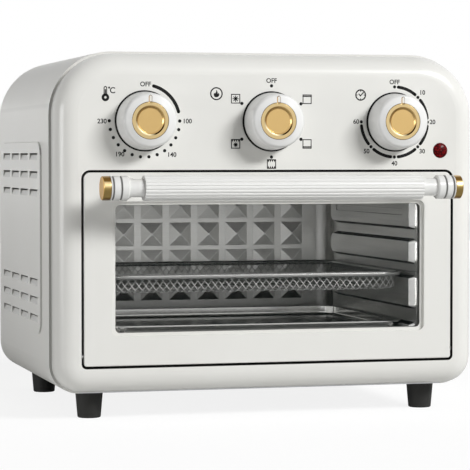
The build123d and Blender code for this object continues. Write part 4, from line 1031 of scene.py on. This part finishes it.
def weave_walls(mesh):
    """The same slants wrapped round the walls, from the bend at the foot up to the rim."""
    count = 2 * round(around_pan / pitch_x / 2)
    pitch = around_pan / count
    for slant in (1, -1):
        for start in range(count):
            run = []
            for row in range(weave_rows + 1):
                point = wall_point((start + slant * row / 2) * pitch, wall_length * row / weave_rows)
                away_x, away_y = point.x / pan_half_x, (point.y - pan_middle_y) / pan_half_y
                over = (row + (0 if slant > 0 else 1)) % 2
                lift = strand_lift if over else -strand_lift
                run.append(point + lift * Vector((away_x, away_y, 0.0)).normalized())
            strand(mesh, run, 4)


def basket_weave():
    """Diagonal woven wire over the floor and up the walls of the basket."""
    mesh = bmesh.new()
    weave_floor(mesh)
    weave_walls(mesh)
    made = bpy.data.meshes.new("basket_weave")
    mesh.to_mesh(made)
    mesh.free()
    for face in made.polygons:
        face.use_smooth = True
    piece = add_piece("basket_weave", made, wire_chrome, "basket")
    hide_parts("basket_mesh")


basket_weave()

# Studio: floor, lamps, surroundings and camera
oven_middle = (0.0, 0.0, 0.15)


def add_floor(half=6.0):
    """Wide pale floor."""
    mesh = bpy.data.meshes.new("studio_floor")
    corners = [(-half, -half, 0), (half, -half, 0), (half, half, 0), (-half, half, 0)]
    mesh.from_pydata(corners, [], [(0, 1, 2, 3)])
    floor = bpy.data.objects.new("studio_floor", mesh)
    mesh.materials.append(floor_finish())
    bpy.context.scene.collection.objects.link(floor)


def add_lamp(name, place, width, height, power):
    """Soft box at a place, turned to the middle of the oven."""
    light = bpy.data.lights.new(name, "AREA")
    light.shape = "RECTANGLE"
    light.size = width
    light.size_y = height
    light.energy = power
    lamp = bpy.data.objects.new(name, light)
    lamp.location = place
    lamp.rotation_euler = (Vector(oven_middle) - Vector(place)).to_track_quat("-Z", "Y").to_euler()
    bpy.context.scene.collection.objects.link(lamp)


def add_world():
    """White surroundings: bright to the eye, through glass and in reflections, faint as light."""
    world = Finish("studio", bpy.data.worlds)
    camera, glass, mirror = [
        world.node("LightPath", output=f"Is {ray} Ray") for ray in ("Camera", "Transmission", "Glossy")
    ]
    faint = 0.08
    strength = faint + (1.0 - faint) * world.most(world.most(camera, glass), mirror)
    glow = world.node("Background", None, {0: (1, 1, 1, 1), 1: strength})
    bpy.context.scene.world = world.close(glow, "World")


def add_camera():
    """Camera at the photograph's place and angle, turned about the upright axis and tilted down."""
    data = bpy.data.cameras.new("camera")
    data.sensor_width = 36.0
    data.lens = 167.9
    data.clip_start = 0.05
    data.clip_end = 50.0
    camera = bpy.data.objects.new("camera", data)
    camera.location = (-0.515767, -1.8822661, 0.2197233)
    turn, tilt = 0.2674, 0.0359
    camera.rotation_euler = (math.pi / 2 - tilt, 0.0, -turn)
    bpy.context.scene.collection.objects.link(camera)
    bpy.context.scene.camera = camera


add_floor()
add_lamp("key", (3.6, -4.4, 3.3), 2.8, 1.3, 382.0)
add_lamp("fill", (-3.2, -0.7, 0.3), 1.2, 1.2, 40.0)
add_lamp("back", (0.6, 3.6, 0.3), 2.0, 0.4, 40.0)
add_world()
add_camera()
bpy.context.scene.view_settings.view_transform = "Standard"
